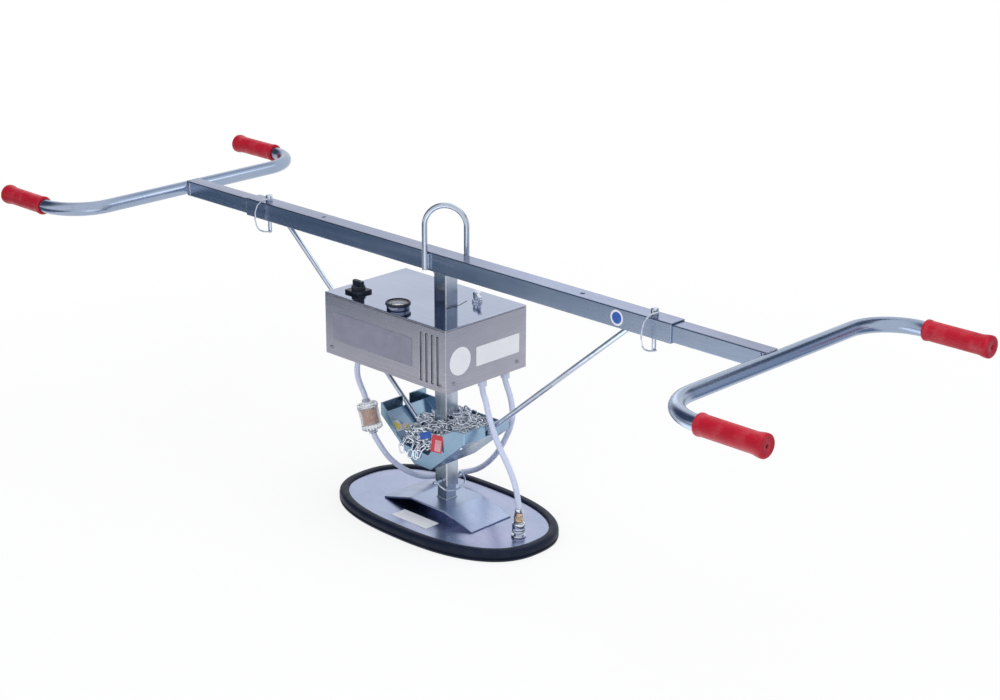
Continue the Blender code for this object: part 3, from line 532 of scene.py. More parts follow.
port_mouth = hood_low.z - 0.0053
filter_centre = Vector((-0.147, -0.060, 0.180))
filter_turn = Matrix.Rotation(radians(-18.4), 4, "Y")
filter_up = (filter_turn @ Vector((0, 0, 1, 0))).to_3d()
bowl_half = 0.0150
cap_height = 0.012
filter_radius = 0.0205
hose_seat = bowl_half + cap_height - 0.0014
upper_end = filter_centre + filter_up * hose_seat
lower_end = filter_centre - filter_up * hose_seat
plug_low, plug_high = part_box("coupling_plug")
coupling_x = (plug_low.x + plug_high.x) / 2
plug_floor = plug_high.z - 0.0067
routes = {
    "hose_plate": [
        (0.092, 0.002, port_mouth), (0.092, 0.002, port_mouth - 0.013), (0.097, 0.000, port_mouth - 0.023),
        (0.107, -0.004, 0.262), (0.120, -0.010, 0.242), (0.130, -0.0125, 0.226), (0.141, -0.010, 0.197),
        (0.156, -0.008, 0.171), (0.171, -0.006, 0.146), (0.183, -0.003, 0.114),
        (coupling_x, 0, plug_floor + 0.018), (coupling_x, 0, plug_floor),
    ],
    "hose_filter_out": [
        (0.092, 0.062, port_mouth), (0.092, 0.062, port_mouth - 0.013), (0.097, 0.0635, port_mouth - 0.028),
        (0.1035, 0.066, 0.246), (0.108, 0.066, 0.216), (0.0975, 0.070, 0.187), (0.0815, 0.076, 0.162),
        (0.063, 0.085, 0.139), (0.040, 0.0965, 0.1145), (0.015, 0.107, 0.0905), (-0.010, 0.115, 0.069),
        (-0.034, 0.1185, 0.0515), (-0.056, 0.115, 0.0405), (-0.0755, 0.102, 0.0355), (-0.0885, 0.080, 0.035),
        (-0.0935, 0.056, 0.037), (-0.095, 0.032, 0.043), (-0.0975, 0.008, 0.0545), (-0.105, -0.014, 0.070),
        (-0.1155, -0.033, 0.090), (-0.1235, -0.047, 0.112),
        tuple(lower_end - filter_up * 0.013), tuple(lower_end),
    ],
    "hose_filter_in": [
        (-0.176, -0.060, port_mouth), (-0.176, -0.060, port_mouth - 0.013),
        (-0.180, -0.060, port_mouth - 0.028), (-0.177, -0.060, port_mouth - 0.050),
        tuple(upper_end + filter_up * 0.013), tuple(upper_end),
    ],
}
hoses = {}
for name, points in routes.items():
    curve = bpy.data.curves.new(name + "_line", "CURVE")
    curve.dimensions = "3D"
    curve.bevel_depth = hose_diameter / 2
    curve.bevel_resolution = 5
    curve.use_fill_caps = True
    path = smooth_path(points, 60)
    spline = curve.splines.new("POLY")
    spline.points.add(len(path) - 1)
    for point, place in zip(spline.points, path):
        point.co = (*place, 1)
    spline.use_smooth = True
    hose = linked(name + "_line", curve)
    curve.materials.append(milky)
    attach(hose, "frame")
    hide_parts(name)
    hoses[name] = (hose, path)


# Crossbar, telescopic tubes, column and struts; a dark line on a tube's corner is painted shade for how its
# round edge reflects, and a pale line on the column's corner is a painted highlight.
def corner_line(length, width=0.0018):
    """A thin L along Z: its inner corner is the origin, its legs run to -X and to -Y."""
    near = 0.00004
    far = 0.00012
    outline = [(-width, near), (-width, far), (far, far), (far, -width), (near, -width), (near, near)]
    return slab(outline, -length / 2, length / 2)


dress("crossbar", zinc_x)
dress("inner_tube_left", zinc_x)
dress("inner_tube_right", zinc_x)
dress("column", zinc_z)
dress("spigot", zinc_z, 0.0008)
# painted shade: dark L strips on the top front corners stand for the round edges' reflection
edges = (("crossbar_painted_shade", "crossbar", "frame"), ("inner_painted_shade_left", "inner_tube_left", "handle_left"),
         ("inner_painted_shade_right", "inner_tube_right", "handle_right"))
for name, node, body in edges:
    low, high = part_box(node)
    corner = facing(((low.x + high.x) / 2, low.y, high.z), (-1, 0, 0), (0, 0, 1))
    build(name, corner_line(high.x - low.x - 0.001), painted_corner_shade, at=corner, body=body)
# painted highlight: a pale L strip on the column's front corner
corner = facing((column_half, -column_half, (bar_low.z + column_low.z) / 2), (0, 0, 1), (1, 0, 0))
build("column_painted_glint", corner_line(bar_low.z - column_low.z - 0.006), painted_corner_glint, at=corner)
rise = atan(strut_slope)
across = Vector((0, 1, 0))
for label, side in sides:
    foot_x = side * (column_half + 0.0003)
    top = Vector((side * strut_top_x, 0, bar_low.z))
    along = Vector((side * cos(rise), 0, sin(rise)))
    upward = along.cross(across)
    rod, faces = slab(circle(rod_radius, 32), 0, 1)
    verts = []
    for x, y, at_foot in rod:
        point = top + across * x + upward * y
        if at_foot:
            point += along * ((foot_x - point.x) / along.x)
        else:
            point += along * ((bar_low.z - 0.0003 - point.z) / along.z)
        verts.append(point)
    build(f"strut_rod_{label}", (verts, faces), rod_metal, f"strut_{label}")

# Lifting eye, bent from one round bar.
eye_radius = 0.00525
eye_foot = Vector((0.031, bar_width / 2 + 0.0003 + eye_radius, 0))
eye_span = eye_foot.length
eye_way = eye_foot.normalized()
eye_low, eye_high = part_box("lifting_eye")
crown = eye_high.z - eye_radius - eye_span
path = [(-eye_span, eye_low.z)]
path += between(path[0], (-eye_span, crown), 6)
path += arc((0, crown), eye_span, 180, 0, 40)
path += between((eye_span, crown), (eye_span, eye_low.z), 6)
path.append((eye_span, eye_low.z))
build("eye_bar", swept([(eye_way.x * a, eye_way.y * a, z) for a, z in path], eye_radius, 28), zinc_z,
      "lifting_eye")


# Handles: bent tube and ribbed grips.
def handle_reach(label):
    """How far from the middle a handle's cross tube lies, and its ends."""
    low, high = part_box(f"handlebar_{label}")
    near, far = sorted((abs(low.x), abs(high.x)))
    return near + tube_radius, far


for label, side in sides:
    axis_x, end_x = handle_reach(label)
    bend_x = axis_x + bend_radius
    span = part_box(f"handlebar_{label}")[1].y - tube_radius
    straight = span - bend_radius
    path = [(end_x, -span)]
    path += between(path[0], (bend_x, -span), 4)
    path += arc((bend_x, -straight), bend_radius, 270, 180, 24)
    path += between((axis_x, -straight), (axis_x, straight), 12)
    path += arc((bend_x, straight), bend_radius, 180, 90, 24)
    path += between((bend_x, span), (end_x, span), 4)
    path.append((end_x, span))
    build(f"handle_tube_{label}", swept([(side * x, y, bar_axis) for x, y in path], tube_radius, 40), zinc_y,
          f"handlebar_{label}", body=f"handle_{label}")
    for word, front in (("front", -1), ("rear", 1)):
        node = f"grip_{label}_{word}"
        low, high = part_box(node)
        length = high.x - low.x
        bore = tube_radius + 0.0003
        body = bore + 0.0036
        rib_start = 0.013
        rib_end = length - 0.024

        def ribs(angle, z, start=rib_start, end=rib_end):
            fade = max(0.0, min(1.0, (z - start) / 0.003, (end - z) / 0.003))
            return 0.00012 * fade * (cos(30 * angle) - 0.6)

        profile = [(bore, 0.0), (body - 0.0004, 0.0), (body + 0.0008, 0.0012), (body + 0.0011, 0.0030),
                   (body + 0.0009, 0.0065), (body, 0.0085), (body, rib_start)]
        profile += [(body, rib_start + (rib_end - rib_start) * k / 24) for k in range(1, 25)]
        profile += [(body + 0.0002, length - 0.020), (body + 0.0010, length - 0.015),
                    (body + 0.0019, length - 0.010), (body + 0.0022, length - 0.006),
                    (body + 0.0018, length - 0.0022), (body + 0.0004, length - 0.0005),
                    (body - 0.0020, length), (0.0045, length), (0.0036, length - 0.0008),
                    (0.0032, length - 0.0040), (bore, length - 0.0045)]
        start = Matrix.Translation((low.x if side > 0 else high.x, front * span, bar_axis))
        build(f"ribbed_{node}", turned(profile, 156, ribs), grip_red, node,
              start @ Matrix.Rotation(side * pi / 2, 4, "Y"), body=f"handle_{label}", smooth=50)


# Weld beads, rippled along their length.
def bead(name, points, radius, seed, body="frame", closed=False):
    rng = random.Random(seed)
    pts = [Vector(p) for p in points]
    fine = []
    loop = pts + [pts[0]] if closed else pts
    for a, b in zip(loop, loop[1:]):
        count = max(2, int((b - a).length / 0.0011))
        fine += [a.lerp(b, k / count) for k in range(count)]
    if not closed:
        fine.append(pts[-1])
    sizes = [radius * (1 + 0.16 * sin(2.4 * i) + 0.10 * rng.uniform(-1, 1)) for i in range(len(fine))]
    build(name, swept(fine, lambda i: sizes[i], 8, closed), bead_metal, body=body, smooth=60)


for label, side in sides:
    body = f"handle_{label}"
    axis_x, end_x = handle_reach(label)
    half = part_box(f"inner_tube_{label}")[1].y
    for level, word in ((1, "top"), (-1, "under")):
        x = side * (axis_x - 0.0045)
        z = bar_axis + level * (tube_radius + 0.0004)
        bead(f"bead_handle_{label}_{word}", [(x, y, z) for y in (-half + 0.001, half - 0.001)], 0.0019,
             3 + level, body)
    for front, word in ((-1, "front"), (1, "rear")):
        x = side * (axis_x - tube_radius - 0.0002)
        y = front * (half + 0.0004)
        bead(f"bead_handle_{label}_{word}", [(x, y, bar_axis + z) for z in (-0.012, 0.012)], 0.0016,
             8 + front, body)
    ring = [(side * strut_top_x + 0.0080 * x, 0.0055 * y, bar_low.z - 0.0006) for x, y in circle(1.0, 18)]
    bead(f"bead_strut_{label}", ring, 0.0013, 14 + side, closed=True)
square = [(-1, -1), (1, -1), (1, 1), (-1, 1)]
reach = column_half + 0.0006
bead("bead_column", [(reach * a, reach * b, bar_low.z - 0.0010) for a, b in square], 0.0015, 21, closed=True)
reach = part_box("spigot")[1].x + 0.0008
bead("bead_spigot", [(reach * a, reach * b, saddle_top + 0.0008) for a, b in square], 0.0016, 22, closed=True)
for word, side in (("front", -1), ("rear", 1)):
    for edge, letter in ((-1, "a"), (1, "b")):
        x = side * eye_foot.x + edge * eye_radius * 0.85
        y = side * (bar_width / 2 + 0.0012)
        line = [(x, y, bar_low.z + 0.004), (x, y, bar_high.z - 0.003)]
        bead(f"bead_eye_{word}_{letter}", line, 0.0013, 30 + side + edge)

# Lock pins and bails keep their CAD shapes.
for label in ("left", "right", "foot"):
    dress(f"lock_pin_{label}", pin_metal, 0.0005)
    dress(f"pin_bail_{label}", pin_metal)

# Chain tray.
dress("chain_tray", zinc_tray, 0.0005)


# Safety chain: links dropped along a winding line, each on what lies there already.
def chain_link(wire, length, width):
    """One welded link round the Z axis's plane XY, longer along X."""
    steps = 18
    half = (length - width) / 2
    bend = (width - wire) / 2
    path = [(x + copysign(half, x), y, 0) for x, y in circle(bend, steps)]
    return swept(path, wire / 2, 8, True)


def heap_level(x, y):
    """Top of the chain's heap: it falls away to the left and to the low front wall."""
    level = 0.203 + 0.005 * sin(31.0 * x + 1.0) + 0.004 * sin(57.0 * y + 40.0 * x)
    level -= 0.9 * max(0.0, -x - 0.040) + 1.6 * max(0.0, -x - 0.047)
    return level - 0.75 * max(0.0, -y - 0.025) * min(1.0, max(0.0, (0.075 - x) / 0.040))


def drop_chain(wire, length, width, seed):
    """Rows of linked links in six layers over the heap, and short strands over the front lip."""
    rng = random.Random(seed)
    heap_low, heap_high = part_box("safety_chain")
    sheet_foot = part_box("strut_right")[0].z
    link = chain_link(wire, length, width)
    pitch = length - 2 * wire
    near_wall = 0.0072          # how near the heap's rims a row may lie
    far_wall = 0.0068
    waves = 130.0               # how quickly a row sways, in radians per metre
    slope_start = 0.015         # where the sheet starts to rise, from the middle
    shapes = []
    # Each layer: how deep it lies, its rows' spacing and sway, and how far back it goes.
    layers = ((0.031, 0.0090, 0.002, 0.022), (0.024, 0.0090, 0.002, 0.022), (0.017, 0.0090, 0.002, 0.022),
              (0.011, 0.0100, 0.002, 1.0), (0.006, 0.0096, 0.004, 1.0), (0.001, 0.0104, 0.006, 1.0))
    for layer, (drop, spacing, sway, reach) in enumerate(layers):
        crosswise = layer == 4
        first, last = (heap_low.x, heap_high.x) if crosswise else (heap_low.y, heap_high.y)
        last = min(last, first + reach)
        start, stop = (heap_low.y, heap_high.y) if crosswise else (heap_low.x, heap_high.x)
        row = first + near_wall
        while row < last - far_wall:
            along = start + 0.007 + rng.uniform(0, pitch)
            phase = rng.uniform(0, 6.28)
            number = 0
            while along < stop - 0.007:
                swing = sway * sin(waves * along + phase)
                x, y = (row + swing, along) if crosswise else (along, row + swing)
                y = min(max(y, heap_low.y + near_wall), heap_high.y - far_wall)
                heading = atan(waves * sway * cos(waves * along + phase)) + rng.uniform(-0.35, 0.35)
                heading = pi / 2 - heading if crosswise else heading
                if min(y - heap_low.y, heap_high.y - y) < length * 0.5:
                    heading = rng.uniform(-0.3, 0.3)
                number += 1
                along += pitch * (0.94 + 0.12 * rng.random())
                level = heap_level(x, y) - drop + rng.uniform(-0.002, 0.002)
                sheet = sheet_foot + strut_slope * max(0.0, abs(x) - slope_start) + 0.0045
                if max(abs(x), abs(y)) < column_half + width * 0.55 or heap_level(x, y) < sheet + 0.003:
                    continue
                roll = (pi / 4 if number % 2 else -pi / 4) + rng.uniform(-0.5, 0.5)
                turn = (Matrix.Translation((x, y, max(level, sheet))) @ Matrix.Rotation(heading, 4, "Z")
                        @ Matrix.Rotation(rng.uniform(-0.5, 0.5), 4, "Y") @ Matrix.Rotation(roll, 4, "X"))
                shapes.append(placed(link, turn))
            row += spacing
    over_lip = (((-0.052, -0.056, 0.160), (-0.053, -0.0668, 0.150), (-0.050, -0.0680, 0.137)),
                ((-0.030, -0.056, 0.158), (-0.027, -0.0668, 0.146), (-0.030, -0.0680, 0.132)),
                ((0.004, -0.056, 0.163), (-0.004, -0.0668, 0.151), (-0.009, -0.0680, 0.138)),
                ((-0.014, -0.056, 0.160), (-0.015, -0.0668, 0.148), (-0.013, -0.0680, 0.134)))
    for strand in over_lip:
        for number, (a, b) in enumerate(zip(strand, strand[1:])):
            a, b = Vector(a), Vector(b)
            along = (b - a).normalized()
            across = Vector((0, 1, 0)).cross(along).normalized()
            turn = Matrix((along, across, along.cross(across))).transposed().to_4x4()
            turn = Matrix.Translation((a + b) / 2) @ turn @ Matrix.Rotation(0.5 - number, 4, "X")
            shapes.append(placed(link, turn))
    return merged(shapes)


build("chain_links", drop_chain(0.0032, 0.0205, 0.0122, 5), chain_metal, "safety_chain", smooth=80)

# Bare tags of the chain and two bare stickers on the tray's left slope.
red_place = facing((0.0455, -0.0695, 0.1800), (0.40, -0.91, 0.10), (0.10, 0, 1))
blue_place = facing((0.0100, -0.0640, 0.1855), (0.30, -0.80, 0.50), (-0.30, 0, 1))
panel_place = red_place @ Matrix.Translation((0.0025, -0.003, 0))
tags = (("red", rounded(0.022, 0.033, 0.002), -0.0005, 0.0005, red_tag, red_place),
        ("panel", rounded(0.012, 0.022, 0.001), 0.0006, 0.0008, pale_red, panel_place),
        ("blue", rounded(0.022, 0.013, 0.002), -0.0005, 0.0005, blue_vinyl, blue_place))
for word, outline, low, high, mat, place in tags:
    build(f"chain_tag_{word}", slab(outline, low, high), mat, at=place)
slope_up = Vector((-cos(rise), 0, sin(rise)))
slope_normal = Vector((0, 1, 0)).cross(slope_up)
sheet_below = 0.00696           # how far the tray's slope lies under the strut's axis
for number, (x, y) in enumerate(((-0.0833, -0.0485), (-0.0737, -0.0275))):
    spot = Vector((x, y, bar_low.z - (strut_top_x + x) * strut_slope - sheet_below))
    place = facing(spot + slope_normal * 0.0003, slope_normal, slope_up)
    panel = slab(rounded(0.020, 0.024, 0.001), 0, 0.0002)
    diamond = slab([(-0.0085, 0), (0, -0.0095), (0.0085, 0), (0, 0.0095)], 0.0003, 0.0004)
    build(f"slope_sticker_{number}", panel, white_vinyl, at=place)
    build(f"slope_sticker_{number}_mark", diamond, yellow_vinyl, at=place)

# Vacuum unit.
dress("unit_base", hood_steel)
dress("hood", hood_steel, 0.0011)
dress("battery", black, 0.002)
dress("pump_head", dark_metal, 0.002)
dress("manifold", dark_metal, 0.001)
dress("pump_motor", pin_metal)
for label in ("plate", "filter_out", "filter_in"):
    dress(f"port_{label}", milky)

# Suction plate, saddle and seal, with the oval drawn finer than in the CAD model.
plate_power = 2.44
seal_low, seal_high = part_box("seal_ring")
half_long = (seal_high.x - seal_low.x) / 2
half_wide = (seal_high.y - seal_low.y) / 2


def oval(inset, count=220):
    out = []
    for k in range(count):
        angle = 2 * pi * (k + 0.5) / count
        c = cos(angle)
        s = sin(angle)
        x = half_long * copysign(abs(c) ** (2 / plate_power), c)
        y = half_wide * copysign(abs(s) ** (2 / plate_power), s)
        nx = copysign(abs(x / half_long) ** (plate_power - 1), x) / half_long
        ny = copysign(abs(y / half_wide) ** (plate_power - 1), y) / half_wide
        size = hypot(nx, ny)
        out.append((x - inset * nx / size, y - inset * ny / size))
    return out


def oval_body(section):
    """A body whose section, in (inset, z) points, runs round the oval."""
    verts = [Vector((x, y, z)) for inset, z in section for x, y in oval(inset)]
    return verts, ring_faces(len(section), len(verts) // len(section), True)


plate_edge = half_long - plate_high.x
seal_top = seal_high.z
section = [(0.0010, 0.0012), (0.0025, 0.0), (0.024, 0.0), (0.0265, 0.0025), (0.027, plate_low.z - 0.0005),
           (plate_edge - 0.0003, plate_low.z - 0.0005), (plate_edge - 0.0003, seal_top - 0.0022)]
section += [(plate_edge - 0.0020, seal_top - 0.0006), (plate_edge - 0.0050, seal_top), (0.0065, seal_top),
            (0.0030, seal_top - 0.0012), (0.0008, seal_top - 0.0040), (0.0, seal_top - 0.0080), (0.0, 0.0090),
            (0.0022, 0.0072), (0.0022, 0.0060), (0.0, 0.0046)]
build("seal_lip", oval_body(section), rubber, "seal_ring", smooth=40)
dress("suction_plate", zinc_plate)
dress("saddle_bracket", zinc_saddle, 0.0006)

# Quick coupling, hose plug and clamp.
socket = [(0, 0), (0.0128, 0), (0.014, 0.0008), (0.014, 0.0030), (0.0132, 0.004), (0.008, 0.004),
          (0.008, 0.0275), (0.0096, 0.0275), (0.0096, 0.0290), (0.008, 0.030), (0, 0.030)]
build("coupling_core", turned(socket, 48), chrome, "coupling_socket", (coupling_x, 0, plate_top + 0.0003))
sleeve_low, sleeve_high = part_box("coupling_sleeve")
tall = sleeve_high.z - sleeve_low.z
inner = 0.0083
sleeve = [(inner, 0), (0.0112, 0), (0.0120, 0.0007), (0.0122, 0.0016), (0.0122, 0.0028), (0.0121, 0.0032),
          (0.0121, 0.0052), (0.0121, 0.0072), (0.0122, 0.0077), (0.0118, 0.0088), (0.0118, 0.0098),
          (0.0122, 0.0108), (0.0122, tall - 0.0016), (0.0120, tall - 0.0007), (0.0112, tall), (inner, tall)]
build("coupling_collar", turned(sleeve, 120, fluted(0.00025, 40, 0.0030, 0.0075)), chrome, "coupling_sleeve",
      (coupling_x, 0, sleeve_low.z), body="sleeve")
tall = plug_high.z - plug_low.z
bore = hose_diameter / 2 + 0.0003
plug = [(0, 0), (0.0078, 0), (0.0086, 0.0006), (0.0092, 0.0012), (0.0092, 0.0020), (0.0086, 0.0026),
        (0.0086, 0.0034), (0.0092, 0.0040), (0.0092, 0.0105), (0.0086, 0.0112), (0.0078, 0.012),
        (0.0078, tall), (bore, tall), (bore, tall - 0.007), (0, tall - 0.007)]
build("plug_body", turned(plug, 72, six_sided(0.0092, 0.0038, 0.0106)), brass, "coupling_plug",
      (coupling_x, 0, plug_low.z), smooth=25)
clamp_low, clamp_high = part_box("hose_clamp")
band = [(bore, 0), (bore + 0.0012, 0), (bore + 0.0014, 0.0004), (bore + 0.0014, 0.0066),
        (bore + 0.0012, 0.007), (bore, 0.007)]
ear = slab(rounded(0.0056, 0.0050, 0.0008), -0.0028, 0.0028)
screw = turned([(0, -0.0046), (0.0014, -0.0046), (0.0014, 0.0030), (0.0024, 0.0030), (0.0024, 0.0046),
                (0.0006, 0.0046), (0.0006, 0.0038), (0, 0.0038)], 16)
clamp_mid = clamp_low.z + 0.0035
build("clamp_band", merged([placed(turned(band, 40), (coupling_x, 0, clamp_low.z)),
                            placed(ear, facing((clamp_high.x - 0.0032, 0, clamp_mid), (0, 1, 0))),
                            placed(screw, facing((clamp_high.x - 0.0028, 0, clamp_mid), (0, -1, 0)))]),
      pin_metal, "hose_clamp")

# Filter: ribbed clear caps, a clear bowl and the cartridge.
turn = Matrix.Translation(filter_centre) @ filter_turn
bowl = [(filter_radius - 0.0028, -bowl_half), (filter_radius - 0.0012, -bowl_half),
        (filter_radius - 0.0010, -bowl_half + 0.0006), (filter_radius - 0.0010, bowl_half - 0.0006),
        (filter_radius - 0.0012, bowl_half), (filter_radius - 0.0028, bowl_half)]
pieces_of_filter = [build("bowl_clear", turned(bowl, 48), clear, "filter_bowl", turn)]
pleats = [(0, -bowl_half + 0.0004), (0.0138, -bowl_half + 0.0004), (0.0148, -bowl_half + 0.002)]
pleats += [(0.0148, -0.0050), (0.0138, -0.0015), (0.0138, 0.0015), (0.0148, 0.0050)]
pleats += [(0.0148, bowl_half - 0.002), (0.0138, bowl_half - 0.0004), (0, bowl_half - 0.0004)]
pieces_of_filter.append(build("cartridge", turned(pleats, 96, lambda a, z: 0.0009 * cos(24 * a)), mesh_cloth,
                              "filter_element", turn, smooth=60))
start = bowl_half + 0.0003
end = start + cap_height
cap_profile = [(0, start), (filter_radius - 0.0016, start), (filter_radius - 0.0004, start + 0.0010),
               (filter_radius - 0.0002, start + 0.0022), (filter_radius - 0.0002, end - 0.0044),
               (filter_radius - 0.0012, end - 0.0024), (filter_radius - 0.0050, end), (bore + 0.0030, end),
               (bore + 0.0025, end + 0.0008), (bore + 0.0025, end + 0.0054), (bore + 0.0020, end + 0.006),
               (bore, end + 0.006), (bore, end - 0.002), (0, end - 0.002)]
for word, way in (("upper", 1), ("lower", -1)):
    cap = turned([(r, way * z) for r, z in cap_profile], 120,
                 fluted(0.0007, 20, start + 0.0015, end - 0.003, -1))
    pieces_of_filter.append(build(f"cap_{word}", cap, clear, f"filter_cap_{word}", turn, smooth=40))
for name, (hose, path) in hoses.items():
    length = sum((b - a).length for a, b in zip(path, path[1:]))

# Rotary switch.
dress("switch_base", black, 0.0014)
knob_place = middle("switch_base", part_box("switch_knob")[0].z)
disc = [(0, 0), (0.0127, 0), (0.0135, 0.0008), (0.0135, 0.0056), (0.0128, 0.0072), (0.0105, 0.0082),
        (0, 0.0082)]
wing = slab(rounded(0.0254, 0.0094, 0.0030), 0.0070, 0.0170)
knob = build("knob_wing", merged([turned(disc, 60, fluted(0.0003, 30, 0.0005, 0.006)), wing]), black,
             "switch_knob", knob_place, body="knob", smooth=30)
bevelled(knob, 0.0007)
build("knob_mark", slab(rounded(0.0012, 0.0030, 0.0004), 0.01705, 0.0172), white_vinyl,
      at=knob_place + Vector((0.0098, 0, 0)), body="knob")

# Vacuum gauge: knurled case, printed dial and domed glass.
seat = hood_high.z + 0.0003
dial_low, dial_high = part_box("gauge_dial")
dial_top = dial_high.z
dial_radius = (dial_high.x - dial_low.x) / 2
dial_well = dial_radius + 0.0003
gauge = middle("gauge_dial")
gauge_seat = middle("gauge_dial", seat)
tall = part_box("gauge_case")[1].z - seat
case = [(0, -0.022), (0.007, -0.022), (0.007, -0.0003), (0.0200, 0.0), (0.0212, 0.0010), (0.0214, 0.0072),
        (dial_well, 0.0072), (dial_well, 0.002), (0, 0.002)]
build("gauge_body", turned(case, 96), gauge_metal, "gauge_case", gauge_seat)
bezel = [(dial_well, 0.0073), (0.0226, 0.0073), (0.0235, 0.0082), (0.0235, tall - 0.0018),
         (0.0229, tall - 0.0006), (0.0220, tall), (dial_radius + 0.0010, tall),
         (dial_well, tall - 0.0008)]
build("gauge_bezel", turned(bezel, 144, fluted(0.0003, 36, 0.0078, tall - 0.001, -1)), black, "gauge_case",
      gauge_seat)
face = [(0, dial_low.z), (dial_radius, dial_low.z), (dial_radius, dial_top - 0.0003),
        (dial_radius - 0.0004, dial_top), (0, dial_top)]
build("dial_face", turned(face, 64), white_vinyl, "gauge_dial", gauge)
lens_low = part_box("gauge_lens")[0].z
dome = [(0, lens_low), (dial_radius, lens_low), (dial_radius, lens_low + 0.0012)]
dome += [(dial_radius * x, lens_low + 0.0012 + 0.0008 * z) for x, z in arc((0, 0), 1.0, 0, 81, 9)[1:]]
dome.append((0, lens_low + 0.0020))
build("dial_glass", turned(dome, 64), glass, "gauge_lens", gauge)
ink_thick = 0.00012
ink_place = middle("gauge_dial", dial_top + 0.00005)
rim = [(dial_radius - 0.0020, 0), (dial_radius - 0.0003, 0), (dial_radius - 0.0003, 0.0002),
       (dial_radius - 0.0020, 0.0002)]
build("dial_rim", turned(rim, 96), black, at=ink_place)
shapes = []
for mark in range(51):
    angle = radians(225 - 270 * mark / 50)
    long_mark = mark % 5 == 0
    outer = dial_radius - 0.0020
    inner = outer - (0.0030 if long_mark else 0.0016)
    half = 0.00022 if long_mark else 0.00010
    tick = slab([(inner, -half), (outer, -half), (outer, half), (inner, half)], 0, ink_thick)
    shapes.append(placed(tick, Matrix.Rotation(angle, 4, "Z")))
build("dial_marks", merged(shapes), black, at=ink_place)
outer = dial_radius - 0.0006
for name, start, end, mat in (("dial_red", 225, 63, red_tag), ("dial_green", 63, -45, green_print)):
    band = arc((0, 0), outer, start, end, 40) + arc((0, 0), outer - 0.0011, end, start, 40)
    build(name, slab(band, 0, ink_thick), mat, at=ink_place)


def numeral(name, text, place, size):
    """A number as a thin mesh on the dial."""
    curve = bpy.data.curves.new(name, "FONT")
    curve.body = text
    curve.size = size
    curve.align_x = "CENTER"
    curve.align_y = "CENTER"
    curve.extrude = ink_thick / 2
    source = linked(name + "_source", curve)
    bpy.context.view_layer.update()
    mesh = bpy.data.meshes.new_from_object(source.evaluated_get(bpy.context.evaluated_depsgraph_get()))
    bpy.data.objects.remove(source, do_unlink=True)
    mesh.transform(Matrix.Translation(place))
    mesh.materials.clear()
    mesh.materials.append(black)
    obj = linked(name, mesh)
    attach(obj, "frame")


for value, (x, y) in zip(range(0, 11, 2), arc((gauge.x, gauge.y), dial_radius - 0.0072, 225, -45, 5)):
    numeral(f"dial_number_{value}", str(value), (x, y, ink_place.z + ink_thick), 0.0042)
dress("gauge_needle", black)

# Valve.
valve = [(0, -0.020), (0.006, -0.020), (0.006, -0.0002), (0.0094, 0.0), (0.0100, 0.0006), (0.0100, 0.0044),
         (0.0094, 0.0050), (0.0075, 0.0056), (0.0075, 0.0118), (0.0072, 0.012), (0, 0.012)]
build("valve_nut", turned(valve, 96, six_sided(0.0100, 0.0004, 0.0046)), chrome, "valve_body",
      middle("valve_body", seat), smooth=25)
dress("valve_lever", chrome, 0.0006)

# Pan-head screws on the hood.
screw = [(0, 0.0016), (0.0008, 0.0016), (0.0008, 0.0021), (0.0014, 0.0021), (0.0026, 0.0017),
         (0.0033, 0.0008),
         (0.0035, 0), (0, 0)]
hood_screws = [((x, y, z), (0, way, 0)) for y, way in ((hood_low.y, -1), (hood_high.y, 1))
               for x, z in ((-0.201, 0.317), (0.090, 0.314))]
hood_screws += [((x, y, 0.318), (way, 0, 0)) for x, way in ((hood_high.x, 1), (hood_low.x, -1))
                for y in (-0.084, 0.080)]
shapes = []
for spot, normal in hood_screws:
    shapes.append(placed(turned(screw, 20), facing(Vector(spot) + Vector(normal) * stand_off, normal)))
build("hood_screws", merged(shapes), screw_metal)

# Joint of the hood beside the column.
seam = [Vector((0.0185, -0.017, 0)), Vector((0.0185, 0.018, 0)), Vector((0.0105, 0.044, 0))]
shapes = []
for a, b in zip(seam, seam[1:]):
    half = Vector((0, 0, 1)).cross(b - a).normalized() * 0.0010
    shapes.append(slab([(v.x, v.y) for v in (a - half, b - half, b + half, a + half)], 0, 0.0001))
build("hood_seam", merged(shapes), black, at=(0, 0, hood_high.z + stand_off))

# Lid joint along the hood's top edges, drawn as strips of painted shade under the lid's edge, and a blade in
# each slot.
hood_size = hood_high - hood_low
hood_mid = (hood_low + hood_high) / 2
joints = (("front", hood_size.x, 0.0022, 0.0004, (hood_mid.x, hood_low.y, hood_high.z - 0.0034), (0, -1, 0)),
          ("side", hood_size.y, 0.0010, 0.0002, (hood_high.x, hood_mid.y, hood_high.z - 0.0030), (1, 0, 0)))
# painted shade: dark strips on the walls under the lid's edge
for word, run, wide, corner, spot, normal in joints:
    build(f"hood_lid_shade_{word}", slab(rounded(run - 0.006, wide, corner), 0, 0.0002), painted_lid_shade,
          at=facing(spot, normal))
blade = slab(rounded(0.0030, hood_size.z - 0.030, 0.0008), -0.0006, 0.0002)
for number in range(4):
    spot = (0.0422 + 0.0143 * number, hood_low.y + 0.0004, hood_mid.z - 0.002)
    build(f"slot_blade_{number}", blade, dark_metal, at=facing(spot, (0.25, -1, 0)))


# Stickers, left blank.
def sticker(name, place, normal, outline, mat, lift=0.0, up=(0, 0, 1)):
    spot = Vector(place) + Vector(normal) * (stand_off + lift)
    build(name, slab(outline, 0, 0.00025), mat, at=facing(spot, normal, up))


